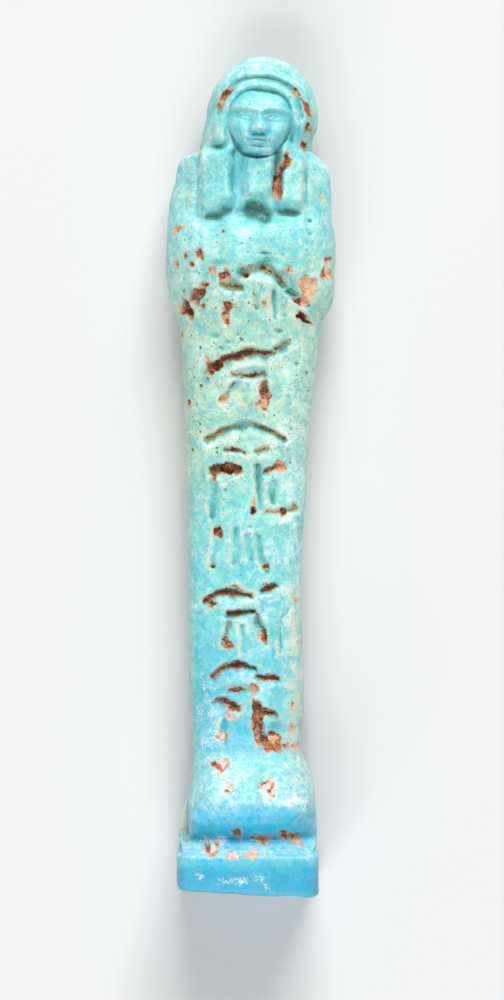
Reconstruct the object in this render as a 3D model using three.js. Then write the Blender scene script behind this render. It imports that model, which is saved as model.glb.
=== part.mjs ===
// A funerary figurine of glazed faience, pressed in a mould in one piece and lying on its back.
// The mummiform body wears a three-part wig, carries rows of cut strokes down its front, and has
// a flat pillar down its back and a low base under its feet. All of it is one solid.
// Frame: the origin is in the middle of the resting face, +Y runs from the feet to the crown and
// +Z leaves the front. Heights are measured from the underside of the base, along +Y.
// Left and right are those of someone looking at the front with the crown upwards.

import * as THREE from "three";

// Driving sizes, in millimetres.
const FIGURE_LENGTH = 108.2; // underside of the base to the crown of the wig
const ELBOW_WIDTH = 22; // the widest place
const FOREARM_DEPTH = 13.6; // resting face to the front of the crossed forearms
const BASE_HEIGHT = 5.7;
const BASE_WIDTH = 18.2;
const BASE_DEPTH = 17.5;
const BASE_OFFSET = -0.33; // middle of the base, sideways from the middle of the elbows
const BASE_BEVEL = 0.8; // rounding of the base's upper and lower edges
const BASE_FILLET = 1.5; // height over which the base runs into the feet
const UNDERSIDE_SLANT = 0.05; // rise of the underside for each millimetre towards the left
const PILLAR_WIDTH = 8;
const PILLAR_PROUD = 1.5; // how far the pillar stands behind the back
const PILLAR_DRAFT = 0.3; // sideways lean of the pillar's flanks
const STROKE_WIDTH = 1.3; // the widest cuts of the inscription
const STROKE_DEPTH = 0.75;

// The free form below is drawn at these sizes and follows the driving ones in proportion.
const RISE = FIGURE_LENGTH - BASE_HEIGHT;
const HALF_WIDTH = ELBOW_WIDTH / 2;
const DRAWN_RISE = 102.5;
const DRAWN_HALF_WIDTH = 11;
const DRAWN_DEPTH = 13.6;
const DEPTH_SCALE = FOREARM_DEPTH / DRAWN_DEPTH;
const WIDTH_SCALE = HALF_WIDTH / DRAWN_HALF_WIDTH;
const HEIGHT_SCALE = RISE / DRAWN_RISE;

// Mesh density.
const FRONT_COLUMNS = 26;
const FLANK_COLUMNS = 4; // from the widest place round to the pillar, on each side
const COLUMN_CROWDING = 0.3; // 0 spreads the front columns by angle, more crowds them in the middle

// Outline seen from the front: [share of the rise, left edge, right edge], in half elbow widths.
const OUTLINE = [
  [0.0, -0.865, 0.8],
  [0.04, -0.815, 0.775],
  [0.068, -0.727, 0.757],
  [0.098, -0.695, 0.692],
  [0.129, -0.691, 0.605],
  [0.191, -0.714, 0.636],
  [0.259, -0.732, 0.618],
  [0.337, -0.741, 0.605],
  [0.435, -0.759, 0.659],
  [0.532, -0.777, 0.7],
  [0.6, -0.8, 0.77],
  [0.651, -0.827, 0.835],
  [0.673, -0.873, 0.9],
  [0.689, -0.936, 0.973],
  [0.714, -0.977, 0.998],
  [0.74, -1.0, 1.0],
  [0.771, -0.991, 0.991],
  [0.81, -0.96, 0.972],
  [0.839, -0.89, 0.955],
  [0.854, -0.86, 0.923],
  [0.866, -0.818, 0.85],
  [0.874, -0.745, 0.785],
  [0.879, -0.614, 0.736],
  [0.885, -0.585, 0.738],
  [0.897, -0.562, 0.752],
  [0.909, -0.54, 0.795],
  [0.922, -0.509, 0.802],
];

// Profile seen from the side: [share of the rise, depth of the front], in forearm depths.
const FRONT_PROFILE = [
  [0.0, 0.99],
  [0.012, 1.0],
  [0.024, 1.055],
  [0.04, 1.14],
  [0.053, 1.17],
  [0.066, 1.145],
  [0.082, 1.06],
  [0.103, 0.91],
  [0.129, 0.775],
  [0.162, 0.73],
  [0.24, 0.735],
  [0.337, 0.765],
  [0.435, 0.801],
  [0.532, 0.838],
  [0.63, 0.882],
  [0.669, 0.912],
  [0.708, 0.978],
  [0.747, 1.0],
  [0.782, 0.945],
  [0.825, 0.904],
  [0.873, 0.924],
  [0.893, 0.98],
  [0.922, 1.03],
];

// Section by section: [share of the rise, depth of the widest line, power of the front curve].
const SECTIONS = [
  [0.0, 0.31, 4.5],
  [0.06, 0.36, 3.6],
  [0.14, 0.4, 2.9],
  [0.4, 0.42, 2.8],
  [0.64, 0.46, 2.5],
  [0.74, 0.47, 2.35],
  [0.87, 0.48, 2.3],
  [0.9, 0.5, 2.2],
];

const DOME_START = 0.922; // share of the rise where the crown starts to close
const BACK_POWER = 2.6;
const BASE_POWER = 9;
const HEAD_BACK = 0.4; // the back of the wig clears the ground by this
const PILLAR_TOP = 0.8; // share of the rise
const PILLAR_TOP_SLOPE = 0.012;

const clamp01 = (value) => Math.min(1, Math.max(0, value));
const mix = (a, b, k) => a + (b - a) * k;

// 0 below low, 1 above high, with an eased run between them.
function ease(value, low, high) {
  const s = clamp01((value - low) / (high - low));
  return s * s * (3 - 2 * s);
}

// A round hump that is 1 in its middle and fades over the radii rx and ry.
const hump = (dx, dy, rx, ry) => Math.exp(-((dx / rx) ** 2) - (dy / ry) ** 2);

// 1 inside the band from low to high, 0 outside, with edges eased over soft.
const band = (value, low, high, soft) =>
  ease(value, low - soft, low + soft) * (1 - ease(value, high - soft, high + soft));

// A smooth curve through the stations' values in one column, which never overshoots them.
function curveThrough(stations, column) {
  const at = stations.map((station) => station[0]);
  const value = stations.map((station) => station[column]);
  const last = at.length - 1;
  const step = at.slice(1).map((end, i) => (value[i + 1] - value[i]) / (end - at[i]));
  const slope = value.map((_, i) => {
    if (i === 0 || i === last) return step[Math.min(i, last - 1)];
    if (step[i - 1] * step[i] <= 0) return 0;
    return (2 * step[i - 1] * step[i]) / (step[i - 1] + step[i]);
  });
  return (where) => {
    if (where <= at[0]) return value[0];
    if (where >= at[last]) return value[last];
    const i = at.findIndex((end) => end > where) - 1;
    const span = at[i + 1] - at[i];
    const s = (where - at[i]) / span;
    const start = value[i] + s * span * slope[i];
    const end = value[i + 1] - (1 - s) * span * slope[i + 1];
    return mix(start, end, s * s * (3 - 2 * s));
  };
}

const leftEdge = curveThrough(OUTLINE, 1);
const rightEdge = curveThrough(OUTLINE, 2);
const frontProfile = curveThrough(FRONT_PROFILE, 1);
const widestDepth = curveThrough(SECTIONS, 1);
const frontPower = curveThrough(SECTIONS, 2);

// Wig: two lappets lie on the chest, with the worn beard as a broad strip between them. Pockets
// sink under their hems, and the band of the crossed forearms lies below these.
// Places are in drawn millimetres: x sideways, t upwards from the top of the base.
const LAPPETS = [
  { left: -6.4, right: -2.5, hem: 82.0, hemSlope: 0.35 },
  { left: 3.9, right: 6.9, hem: 82.1, hemSlope: 0.1 },
];
const LAPPET_RAISE = 1.1;
const BEARD = { left: -0.7, right: 2.75, tip: 83 };
const BEARD_RAISE = 0.95;
const NECKLINE = 90.2; // the lappets and the beard run out into the wig and the chin above this
const POCKETS = [
  { x: -4.6, t: 81.0, rx: 1.7, ry: 0.8, depth: 0.75 },
  { x: 0.5, t: 82.0, rx: 2.1, ry: 1.2, depth: 1.35 },
  { x: 1.9, t: 80.9, rx: 0.8, ry: 0.9, depth: 0.6 },
  { x: 5.0, t: 81.8, rx: 1.8, ry: 0.75, depth: 0.9 },
  { x: -4.2, t: 90.2, rx: 1.0, ry: 0.7, depth: 0.7 },
  { x: 3.5, t: 86.5, rx: 0.7, ry: 2.8, depth: 0.75 },
];
const FOREARMS = { left: -7.6, right: 7.4, low: 68, high: 80.3, raise: 0.35 };
const ARM_GROOVES = [
  { x: -8.15, low: 82.4, high: 88.8 },
  { x: -6.75, low: 77.3, high: 89.4 },
  { x: 9.0, low: 83, high: 88.8 },
  { x: 7.3, low: 75.8, high: 89.4 },
];
const GROOVE_WIDTH = 0.5;
const GROOVE_DEPTH = 0.4;

function dressRelief(x, t) {
  const below = 1 - ease(t, NECKLINE - 0.9, NECKLINE + 1);
  let raise = 0;
  for (const { left, right, hem, hemSlope } of LAPPETS) {
    const hemHere = hem + hemSlope * (x - (left + right) / 2);
    raise += LAPPET_RAISE * band(x, left, right, 0.3) * ease(t, hemHere - 0.4, hemHere + 0.4) * below;
  }
  const onBeard = band(x, BEARD.left, BEARD.right, 0.45) * ease(t, BEARD.tip - 0.5, BEARD.tip + 0.5);
  raise += BEARD_RAISE * onBeard * below;
  for (const pocket of POCKETS) {
    raise -= pocket.depth * hump(x - pocket.x, t - pocket.t, pocket.rx, pocket.ry);
  }
  const acrossForearms = band(x, FOREARMS.left, FOREARMS.right, 0.8);
  const alongForearms = ease(t, FOREARMS.low - 4, FOREARMS.low + 4);
  const belowForearmEdge = 1 - ease(t, FOREARMS.high - 0.45, FOREARMS.high + 0.45);
  raise += FOREARMS.raise * acrossForearms * alongForearms * belowForearmEdge;
  for (const groove of ARM_GROOVES) {
    const along = band(t, groove.low, groove.high, 0.8);
    raise -= GROOVE_DEPTH * hump(x - groove.x, 0, GROOVE_WIDTH, 1) * along;
  }
  return raise;
}

// Feet: a shallow cleft parts them above the base, and the mould's seam leaves a lower strip on
// their left.
const CLEFT = { x: 0.6, low: 3, high: 10.5, width: 0.8, depth: 0.35 };
const SEAM = { edge: -7.85, depth: 7.6, low: 1.3, high: 8.6 };

const feetRelief = (x, t) =>
  -CLEFT.depth * hump(x - CLEFT.x, 0, CLEFT.width, 1) * band(t, CLEFT.low, CLEFT.high, 1.5);

// 1 on the strip left of the feet, which narrows towards its top, and 0 elsewhere.
function onSeam(x, t) {
  const edge = SEAM.edge - 0.5 * ease(t, SEAM.high - 3, SEAM.high);
  return (1 - ease(x, edge - 0.3, edge + 0.1)) * band(t, SEAM.low, SEAM.high, 0.6);
}

// Face: a calm one in equal thirds, from the hairline to the brows, the nose and the chin. The
// wig's inner band frames it, and a groove parts that band from the crown.
const HEAD_LEAN = 0.077; // radians, towards the right
const FACE = { x: 1.2, t: 93.3, halfHeight: 4.35, halfWidth: 4.15, power: 2.4, sunk: 1 };
const THIRD = (2 * FACE.halfHeight) / 3;
const BROW_LINE = FACE.halfHeight - THIRD;
const NOSE_BASE = BROW_LINE - THIRD;
const EYE_LINE = BROW_LINE - 0.3 * THIRD;
const MOUTH_LINE = NOSE_BASE - 0.34 * THIRD;
const CHIN_LINE = -FACE.halfHeight + 0.24 * THIRD;
const EYE_APART = 0.43 * FACE.halfWidth; // each eye from the middle of the face

// Depth of the middle of the face: [height about its own middle, depth].
const FACE_PROFILE = [
  [-FACE.halfHeight - 0.7, 12.3],
  [-FACE.halfHeight, 13.1],
  [CHIN_LINE, 14.35],
  [(CHIN_LINE + MOUTH_LINE) / 2, 14.1],
  [MOUTH_LINE, 14.45],
  [NOSE_BASE, 14.3],
  [EYE_LINE, 13.9],
  [BROW_LINE, 14.2],
  [FACE.halfHeight - 1, 13.8],
  [FACE.halfHeight, 13.1],
];
const faceMiddle = curveThrough(FACE_PROFILE, 1);

function featureRelief(h, v) {
  const side = Math.abs(h);
  const onNose = ease(v, NOSE_BASE - 0.35, NOSE_BASE + 0.25) * (1 - ease(v, NOSE_BASE + 0.5, BROW_LINE));
  const bridge = band(v, NOSE_BASE, BROW_LINE, 0.4);
  let raise = 1.15 * onNose * hump(h, 0, 0.95, 1);
  raise += 0.45 * bridge * hump(h, 0, 0.6, 1);
  raise += 0.3 * hump(side - 0.85, v - NOSE_BASE - 0.3, 0.5, 0.45);
  raise += 0.35 * hump(side - EYE_APART, v - BROW_LINE - 0.1, 1.6, 0.5);
  raise -= 0.75 * hump(side - EYE_APART, v - EYE_LINE, 1.45, 0.85);
  raise += 0.6 * hump(side - EYE_APART, v - EYE_LINE + 0.05, 0.95, 0.45);
  raise += 0.3 * hump(side - 2.3, v - NOSE_BASE - 0.5, 1.4, 1.3);
  raise += 0.3 * hump(h, v - MOUTH_LINE - 0.28, 1.3, 0.27);
  raise += 0.3 * hump(h, v - MOUTH_LINE + 0.32, 1.0, 0.3);
  raise -= 0.25 * hump(h, v - MOUTH_LINE, 1.4, 0.16);
  raise += 0.2 * hump(h, v - CHIN_LINE, 1.1, 0.7);
  return raise;
}

const FRAME_BAND = { width: 0.85, raise: 0.3 };
const FRAME_GROOVE = { out: 1.25, width: 0.45, depth: 0.8 };
const EAR = { side: 5.2, v: -0.7, rx: 0.75, ry: 1.4, raise: 0.95 };

// Puts the face, its frame and its ears into the wig's surface. The face's outline is where
// (|h| / half width)^power + (|v| / half height)^power is 1, and it reaches further down than up.
function headSurface(x, t, wigDepth) {
  const dx = x - FACE.x;
  const dt = t - FACE.t;
  const h = dx * Math.cos(HEAD_LEAN) - dt * Math.sin(HEAD_LEAN);
  const v = dx * Math.sin(HEAD_LEAN) + dt * Math.cos(HEAD_LEAN);
  const reach = v > 0 ? FACE.halfHeight : 1.1 * FACE.halfHeight;
  const sum = (Math.abs(h) / FACE.halfWidth) ** FACE.power + (Math.abs(v) / reach) ** FACE.power;
  const out = sum ** (1 / FACE.power);
  const beyond = (out - 1) * FACE.halfWidth;
  const inside = ease(-beyond, -0.25, 0.35) * ease(v, -FACE.halfHeight - 0.7, -FACE.halfHeight + 0.1);
  const round = Math.sqrt(1 - Math.min(out, 1) ** 2.6);
  const features = featureRelief(h, v) * ease(-beyond, -0.2, 0.5);
  const faceDepth = mix(wigDepth - FACE.sunk, faceMiddle(v), round) + features;
  const frame = FRAME_BAND.raise * band(beyond, 0.1, FRAME_BAND.width, 0.18) * ease(v, -1.2, 0.6);
  const groove = hump(beyond - FRAME_GROOVE.out, 0, FRAME_GROOVE.width, 1) * ease(v, 0.2, 1.2);
  const ear = EAR.raise * hump(Math.abs(h) - EAR.side, v - EAR.v, EAR.rx, EAR.ry);
  return mix(wigDepth + frame - FRAME_GROOVE.depth * groove + ear, faceDepth, inside);
}

// Inscription: eight rows of plain strokes, which spell nothing, from the chest to the ankles.
// A stroke is [x, t of its middle, length, turn in degrees, bow of its middle] in drawn units.
const STROKE_ROWS = [
  [
    [1.7, 73.5, 5.0, -14, 0.9], [6.1, 71.1, 2.8, -36, 0],
    [-2.6, 72.2, 2.6, -6, 0], [1.1, 70.9, 2.8, 82, 0], [3.1, 70.0, 3.2, 92, 0],
  ],
  [
    [-1.2, 62.9, 8.2, 15, 0.5], [4.2, 64.7, 1.6, 22, 0], [-0.2, 61.0, 3.6, 0, 0],
    [-2.7, 58.8, 2.6, 50, 0], [-0.3, 58.6, 2.4, 86, 0], [1.9, 58.3, 3.0, 98, 0],
  ],
  [
    [-0.6, 52.8, 9.6, 3, 1.7], [-2.0, 51.3, 2.2, -4, 0], [1.4, 51.4, 1.8, 8, 0],
  ],
  [
    [-3.1, 48.8, 2.9, 4, 0], [3.1, 48.8, 2.6, 14, 0], [3.7, 43.5, 3.4, 8, 0],
    [-4.7, 45.2, 5.0, 86, 0], [1.2, 46.5, 5.6, 94, 0], [3.2, 45.9, 2.6, 90, 0],
  ],
  [
    [-4.5, 38.6, 4.8, 84, 0], [-2.0, 38.8, 4.6, 88, 0], [-0.2, 38.6, 3.0, 98, 0], [1.6, 37.9, 4.4, 104, 0],
  ],
  [
    [-2.8, 32.2, 5.6, 6, 0.7], [2.4, 33.6, 2.2, 20, 0], [-1.3, 30.4, 3.2, 2, 0],
    [-2.9, 27.6, 3.0, 78, 0], [-0.8, 26.8, 3.4, 90, 0], [1.3, 28.3, 3.8, 112, 0],
  ],
  [
    [-2.0, 22.5, 5.4, 10, 0.9], [2.1, 21.8, 2.6, -8, 0], [-1.1, 20.3, 3.6, 3, 0],
  ],
  [
    [-2.8, 18.4, 3.0, -14, 0], [2.6, 17.5, 2.0, -22, 0],
    [-3.4, 15.2, 2.6, 84, 0], [1.2, 16.3, 5.4, 98, 0],
  ],
];

// Distance to a stroke whose middle is off its straight line by the bow and whose ends are on it.
function distanceToStroke(x, t, [middleX, middleT, length, turn, bow]) {
  const angle = (turn * Math.PI) / 180;
  const along = (x - middleX) * Math.cos(angle) + (t - middleT) * Math.sin(angle);
  const across = (t - middleT) * Math.cos(angle) - (x - middleX) * Math.sin(angle);
  const s = Math.min(1, Math.max(-1, (2 * along) / length));
  return Math.hypot(along - (s * length) / 2, across - bow * (1 - s * s));
}

// The cuts are round grooves, deepest along their centre lines.
function strokeRelief(x, t) {
  const distances = STROKE_ROWS.flat().map((stroke) => distanceToStroke(x, t, stroke));
  const nearest = Math.min(...distances);
  return -STROKE_DEPTH * (1 - ease(nearest, 0, STROKE_WIDTH / 2 + 0.1));
}

// Section of the figure at share u of the rise: its edges, its depths and its curve's power.
function figureSection(u) {
  const closing = clamp01((u - DOME_START) / (1 - DOME_START));
  const dome = Math.sqrt(1 - closing * closing);
  const middle = ((leftEdge(u) + rightEdge(u)) / 2) * HALF_WIDTH;
  const half = ((rightEdge(u) - leftEdge(u)) / 2) * HALF_WIDTH * dome;
  const widest = widestDepth(u) * FOREARM_DEPTH;
  const onHead = ease(u, 0.82, 0.87);
  const back = mix(PILLAR_PROUD, HEAD_BACK, onHead);
  return {
    middle,
    half,
    widest,
    front: mix(widest, frontProfile(u) * FOREARM_DEPTH, dome),
    back: mix(widest, back, dome),
    power: frontPower(u),
  };
}

// Depth on a front or back curve of a section at x: a superellipse from the widest line.
function curveDepth(section, x, extreme, power) {
  const out = clamp01(Math.abs(x - section.middle) / Math.max(section.half, 1e-6));
  return mix(section.widest, extreme, Math.pow(1 - out ** power, 1 / power));
}

const BASE_SECTION = {
  middle: BASE_OFFSET,
  half: BASE_WIDTH / 2,
  widest: BASE_DEPTH / 2,
};

// The base's own front, back and half width draw in a little at its rounded edges.
function baseSection(height) {
  const fromEdge = Math.min(height, BASE_HEIGHT - height);
  const inside = clamp01(fromEdge / BASE_BEVEL);
  const drawIn = 0.45 * BASE_BEVEL * (1 - Math.sqrt(1 - (1 - inside) ** 2));
  return { ...BASE_SECTION, half: BASE_SECTION.half - drawIn, front: BASE_DEPTH - drawIn };
}

function frontPoint(height, angle) {
  const u = (height - BASE_HEIGHT) / RISE;
  const base = baseSection(clamp01(height / BASE_HEIGHT) * BASE_HEIGHT);
  const baseX = base.middle + base.half * Math.cos(angle);
  const baseZ = curveDepth(base, baseX, base.front, BASE_POWER);
  if (height <= BASE_HEIGHT) return [baseX, baseZ];
  const section = figureSection(u);
  const x = section.middle + section.half * Math.cos(angle);
  const drawnX = x / WIDTH_SCALE;
  const drawnT = (u * RISE) / HEIGHT_SCALE;
  const envelope = curveDepth(section, x, section.front, section.power);
  const relief = dressRelief(drawnX, drawnT) + feetRelief(drawnX, drawnT) + strokeRelief(drawnX, drawnT);
  const facing = ease(Math.sin(angle), 0.05, 0.45);
  const onHead = ease(drawnT, FACE.t - FACE.halfHeight - 1.5, FACE.t - FACE.halfHeight);
  const plain = envelope + relief * facing * DEPTH_SCALE;
  const head = headSurface(drawnX, drawnT, plain / DEPTH_SCALE) * DEPTH_SCALE;
  const dressed = mix(plain, head, onHead * facing);
  const seamDepth = Math.min(dressed, SEAM.depth * DEPTH_SCALE);
  const z = mix(dressed, seamDepth, onSeam(drawnX, drawnT));
  const joined = ease(height, BASE_HEIGHT, BASE_HEIGHT + BASE_FILLET);
  return [mix(baseX, x, joined), mix(baseZ, z, joined)];
}

// The back, from the left edge round to the right one: flank, pillar flank, pillar face and back out.
function backPoints(height) {
  const u = (height - BASE_HEIGHT) / RISE;
  const joined = ease(height, BASE_HEIGHT, BASE_HEIGHT + BASE_FILLET);
  const base = baseSection(clamp01(height / BASE_HEIGHT) * BASE_HEIGHT);
  const figure = figureSection(Math.max(0, u));
  const middle = mix(base.middle, figure.middle, joined);
  const half = mix(base.half, figure.half, joined);
  const halfPillar = Math.min(PILLAR_WIDTH / 2, 0.55 * half);
  const foot = Math.min(halfPillar + PILLAR_DRAFT, 0.6 * half);
  const aboveTop = ease(u, PILLAR_TOP - PILLAR_TOP_SLOPE, PILLAR_TOP + PILLAR_TOP_SLOPE);
  const bodyDepth = (offset) => {
    const share = half > 0 ? offset / half : 0;
    const onBase = curveDepth(base, base.middle + share * base.half, 0, BASE_POWER);
    const onFigure = curveDepth(figure, figure.middle + share * figure.half, figure.back, BACK_POWER);
    return mix(onBase, onFigure, joined);
  };
  const flank = (side) =>
    Array.from({ length: FLANK_COLUMNS }, (_, i) => {
      const turn = ((i + 1) / FLANK_COLUMNS) * (Math.PI / 2);
      const offset = side * (foot + (half - foot) * Math.cos(turn));
      return [middle + offset, bodyDepth(offset)];
    });
  const pillar = [-1, 0, 1].map((side) => {
    const offset = side * halfPillar;
    return [middle + offset, aboveTop * bodyDepth(offset)];
  });
  return [...flank(-1), ...pillar, ...flank(1).reverse()];
}

// Heights of the rings: close on the base, the feet and the head, wider along the body.
function ringHeights() {
  const runs = [
    [0, BASE_BEVEL, 2],
    [BASE_BEVEL, BASE_HEIGHT - BASE_BEVEL, 2],
    [BASE_HEIGHT - BASE_BEVEL, BASE_HEIGHT, 2],
    [BASE_HEIGHT, BASE_HEIGHT + BASE_FILLET, 3],
    [BASE_HEIGHT + BASE_FILLET, BASE_HEIGHT + 0.13 * RISE, 13],
    [BASE_HEIGHT + 0.13 * RISE, BASE_HEIGHT + 0.72 * RISE, 70],
    [BASE_HEIGHT + 0.72 * RISE, BASE_HEIGHT + 0.85 * RISE, 16],
    [BASE_HEIGHT + 0.85 * RISE, BASE_HEIGHT + DOME_START * RISE, 14],
  ];
  const heights = [0];
  for (const [start, end, count] of runs) {
    for (let i = 1; i <= count; i += 1) heights.push(mix(start, end, i / count));
  }
  const domeRings = 9;
  for (let i = 1; i < domeRings; i += 1) {
    const closing = Math.sin(((i / domeRings) * Math.PI) / 2);
    heights.push(BASE_HEIGHT + RISE * mix(DOME_START, 1, closing));
  }
  return heights;
}

// One closed ring of points at a height, from the right edge over the front and back underneath.
function ringAt(height) {
  const front = Array.from({ length: FRONT_COLUMNS + 1 }, (_, i) => {
    const s = i / FRONT_COLUMNS;
    const angle = Math.PI * (s + (COLUMN_CROWDING * Math.sin(2 * Math.PI * s)) / (2 * Math.PI));
    return frontPoint(height, angle);
  });
  const slantFades = 1 - ease(height, 0, BASE_HEIGHT);
  const rightmost = BASE_OFFSET + BASE_WIDTH / 2;
  return [...front, ...backPoints(height)].map(([x, z]) => [
    x,
    height + UNDERSIDE_SLANT * (rightmost - x) * slantFades,
    z,
  ]);
}

function figurineGeometry() {
  const rings = ringHeights().map(ringAt);
  const columns = rings[0].length;
  const positions = rings.flat(2);
  const indices = [];
  for (let row = 1; row < rings.length; row += 1) {
    for (let column = 0; column < columns; column += 1) {
      const next = (column + 1) % columns;
      const a = (row - 1) * columns + column;
      const b = (row - 1) * columns + next;
      const c = row * columns + next;
      const d = row * columns + column;
      indices.push(a, c, b, a, d, c);
    }
  }
  const underside = positions.length / 3;
  positions.push(BASE_OFFSET, (UNDERSIDE_SLANT * BASE_WIDTH) / 2, BASE_DEPTH / 2);
  const crown = underside + 1;
  const top = figureSection(1);
  positions.push(top.middle, FIGURE_LENGTH, top.widest);
  const lastRing = (rings.length - 1) * columns;
  for (let column = 0; column < columns; column += 1) {
    const next = (column + 1) % columns;
    indices.push(underside, column, next);
    indices.push(crown, lastRing + next, lastRing + column);
  }
  const geometry = new THREE.BufferGeometry();
  geometry.setAttribute("position", new THREE.Float32BufferAttribute(positions, 3));
  geometry.setIndex(indices);
  geometry.computeVertexNormals();
  return geometry;
}

const faience = new THREE.MeshStandardMaterial({ color: 0x6fc9cc, roughness: 0.35, metalness: 0 });

const figurine = new THREE.Mesh(figurineGeometry(), faience);
figurine.name = "figurine";
figurine.position.set(0, -FIGURE_LENGTH / 2, 0);

const part = new THREE.Group();
part.add(figurine);

export default part;
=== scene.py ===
"""Looks of a small funerary figurine of glazed faience that lies on its back on a pale table.

Places on the figurine are in millimetres: x sideways from the middle of its elbows, t upwards from
the top of its base, and depth from the face that it lies on. The mesh is turned into metres last.
"""

import bpy
import numpy as np
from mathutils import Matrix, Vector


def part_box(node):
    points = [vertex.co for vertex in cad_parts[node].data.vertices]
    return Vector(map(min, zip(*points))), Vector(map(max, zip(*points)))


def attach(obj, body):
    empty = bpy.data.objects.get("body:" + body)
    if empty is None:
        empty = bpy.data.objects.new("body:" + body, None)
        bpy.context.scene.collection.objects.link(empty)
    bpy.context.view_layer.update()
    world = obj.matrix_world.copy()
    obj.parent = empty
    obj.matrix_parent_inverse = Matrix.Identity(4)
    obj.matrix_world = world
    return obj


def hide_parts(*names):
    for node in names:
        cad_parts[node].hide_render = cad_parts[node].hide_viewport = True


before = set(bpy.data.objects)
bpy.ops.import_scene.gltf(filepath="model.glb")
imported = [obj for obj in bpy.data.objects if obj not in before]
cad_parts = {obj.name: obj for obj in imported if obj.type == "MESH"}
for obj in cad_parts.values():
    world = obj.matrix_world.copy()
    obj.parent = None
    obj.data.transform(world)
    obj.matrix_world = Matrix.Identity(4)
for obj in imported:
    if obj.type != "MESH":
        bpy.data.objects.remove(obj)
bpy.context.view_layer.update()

# The figurine is one mass of quartz faience, pressed in an open mould and cut by hand while damp.
# Its body tapers from the elbows to the ankles, and a flat pillar runs down its back to the base.
MM = 0.001
low, high = (np.array(corner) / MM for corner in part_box("figurine"))
LENGTH = high[1] - low[1]
ELBOW_WIDTH = high[0] - low[0]
BASE_DEPTH = high[2]
BASE_HEIGHT = 5.7
BASE_WIDTH = 18.2
BASE_OFFSET = -0.33
BASE_BEVEL = 0.8
BASE_FILLET = 1.5
BASE_POWER = 9
UNDERSIDE_SLANT = 0.05
FOREARM_DEPTH = 13.6
PILLAR_WIDTH = 8.0
PILLAR_PROUD = 1.5
PILLAR_DRAFT = 0.3
PILLAR_ROUND = 0.3
PILLAR_TOP = 0.8
BACK_POWER = 2.6
HEAD_BACK = 0.4
DOME_START = 0.922
RISE = LENGTH - BASE_HEIGHT
HALF_WIDTH = ELBOW_WIDTH / 2

# Share of the rise, then the left and the right edge in half elbow widths.
OUTLINE = [
    (0.0, -0.865, 0.8), (0.04, -0.815, 0.775), (0.068, -0.727, 0.757), (0.098, -0.695, 0.692),
    (0.129, -0.691, 0.605), (0.191, -0.714, 0.636), (0.259, -0.732, 0.618), (0.337, -0.741, 0.605),
    (0.435, -0.759, 0.659), (0.532, -0.777, 0.7), (0.6, -0.8, 0.77), (0.651, -0.827, 0.835),
    (0.673, -0.873, 0.9), (0.689, -0.936, 0.973), (0.714, -0.977, 0.998), (0.74, -1.0, 1.0),
    (0.771, -0.991, 0.991), (0.81, -0.96, 0.972), (0.839, -0.89, 0.955), (0.854, -0.86, 0.923),
    (0.866, -0.818, 0.85), (0.874, -0.745, 0.785), (0.879, -0.614, 0.736), (0.885, -0.585, 0.738),
    (0.897, -0.562, 0.752), (0.909, -0.54, 0.795), (0.922, -0.509, 0.802),
]
# Share of the rise, then the depth of the front in forearm depths.
FRONT_PROFILE = [
    (0.0, 0.99), (0.012, 1.0), (0.024, 1.055), (0.04, 1.14), (0.053, 1.17), (0.066, 1.145),
    (0.082, 1.06), (0.103, 0.91), (0.129, 0.775), (0.162, 0.73), (0.24, 0.735), (0.337, 0.765),
    (0.435, 0.801), (0.532, 0.838), (0.63, 0.882), (0.669, 0.912), (0.708, 0.978), (0.747, 1.0),
    (0.782, 0.945), (0.825, 0.904), (0.873, 0.924), (0.893, 0.98), (0.922, 1.03),
]
# Share of the rise, then the depth of the widest line in forearm depths and the front's power.
SECTIONS = [
    (0.0, 0.31, 4.5), (0.06, 0.36, 3.6), (0.14, 0.4, 2.9), (0.4, 0.42, 2.8),
    (0.64, 0.46, 2.5), (0.74, 0.47, 2.35), (0.87, 0.48, 2.3), (0.9, 0.5, 2.2),
]


def mix(a, b, k):
    """a where k is 0, b where k is 1, and in proportion between."""
    return a + (b - a) * k


def ease(value, start, end):
    """0 before start, 1 past end, and 3s^2 - 2s^3 of the share s of the way between them."""
    s = np.clip((value - start) / (end - start), 0, 1)
    return s * s * (3 - 2 * s)


def hump(dx, dy, rx, ry):
    """A round hump: e to the power of -(dx/rx)^2 - (dy/ry)^2."""
    return np.exp(-((dx / rx) ** 2) - (dy / ry) ** 2)


def band(value, start, end, soft):
    """1 between start and end, 0 outside, with edges eased over soft to each side."""
    return ease(value, start - soft, start + soft) * (1 - ease(value, end - soft, end + soft))


def curve_through(stations, column, where):
    """A smooth curve through one column of the stations, which never overshoots them.

    The slope at a station is the harmonic mean of its two sides' slopes, and between two stations
    the tangents from both ends are blended by 3s^2 - 2s^3.
    """
    table = np.array(stations, float)
    at, value = table[:, 0], table[:, column]
    step = np.diff(value) / np.diff(at)
    before, after = step[:-1], step[1:]
    same_way = before * after > 0
    both = np.where(same_way, before + after, 1)
    inner = np.where(same_way, 2 * before * after / both, 0)
    slope = np.concatenate([step[:1], inner, step[-1:]])
    where = np.clip(where, at[0], at[-1])
    i = np.clip(np.searchsorted(at, where, side="right") - 1, 0, len(at) - 2)
    span = at[i + 1] - at[i]
    s = (where - at[i]) / span
    start = value[i] + s * span * slope[i]
    end = value[i + 1] - (1 - s) * span * slope[i + 1]
    return mix(start, end, s * s * (3 - 2 * s))


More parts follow.
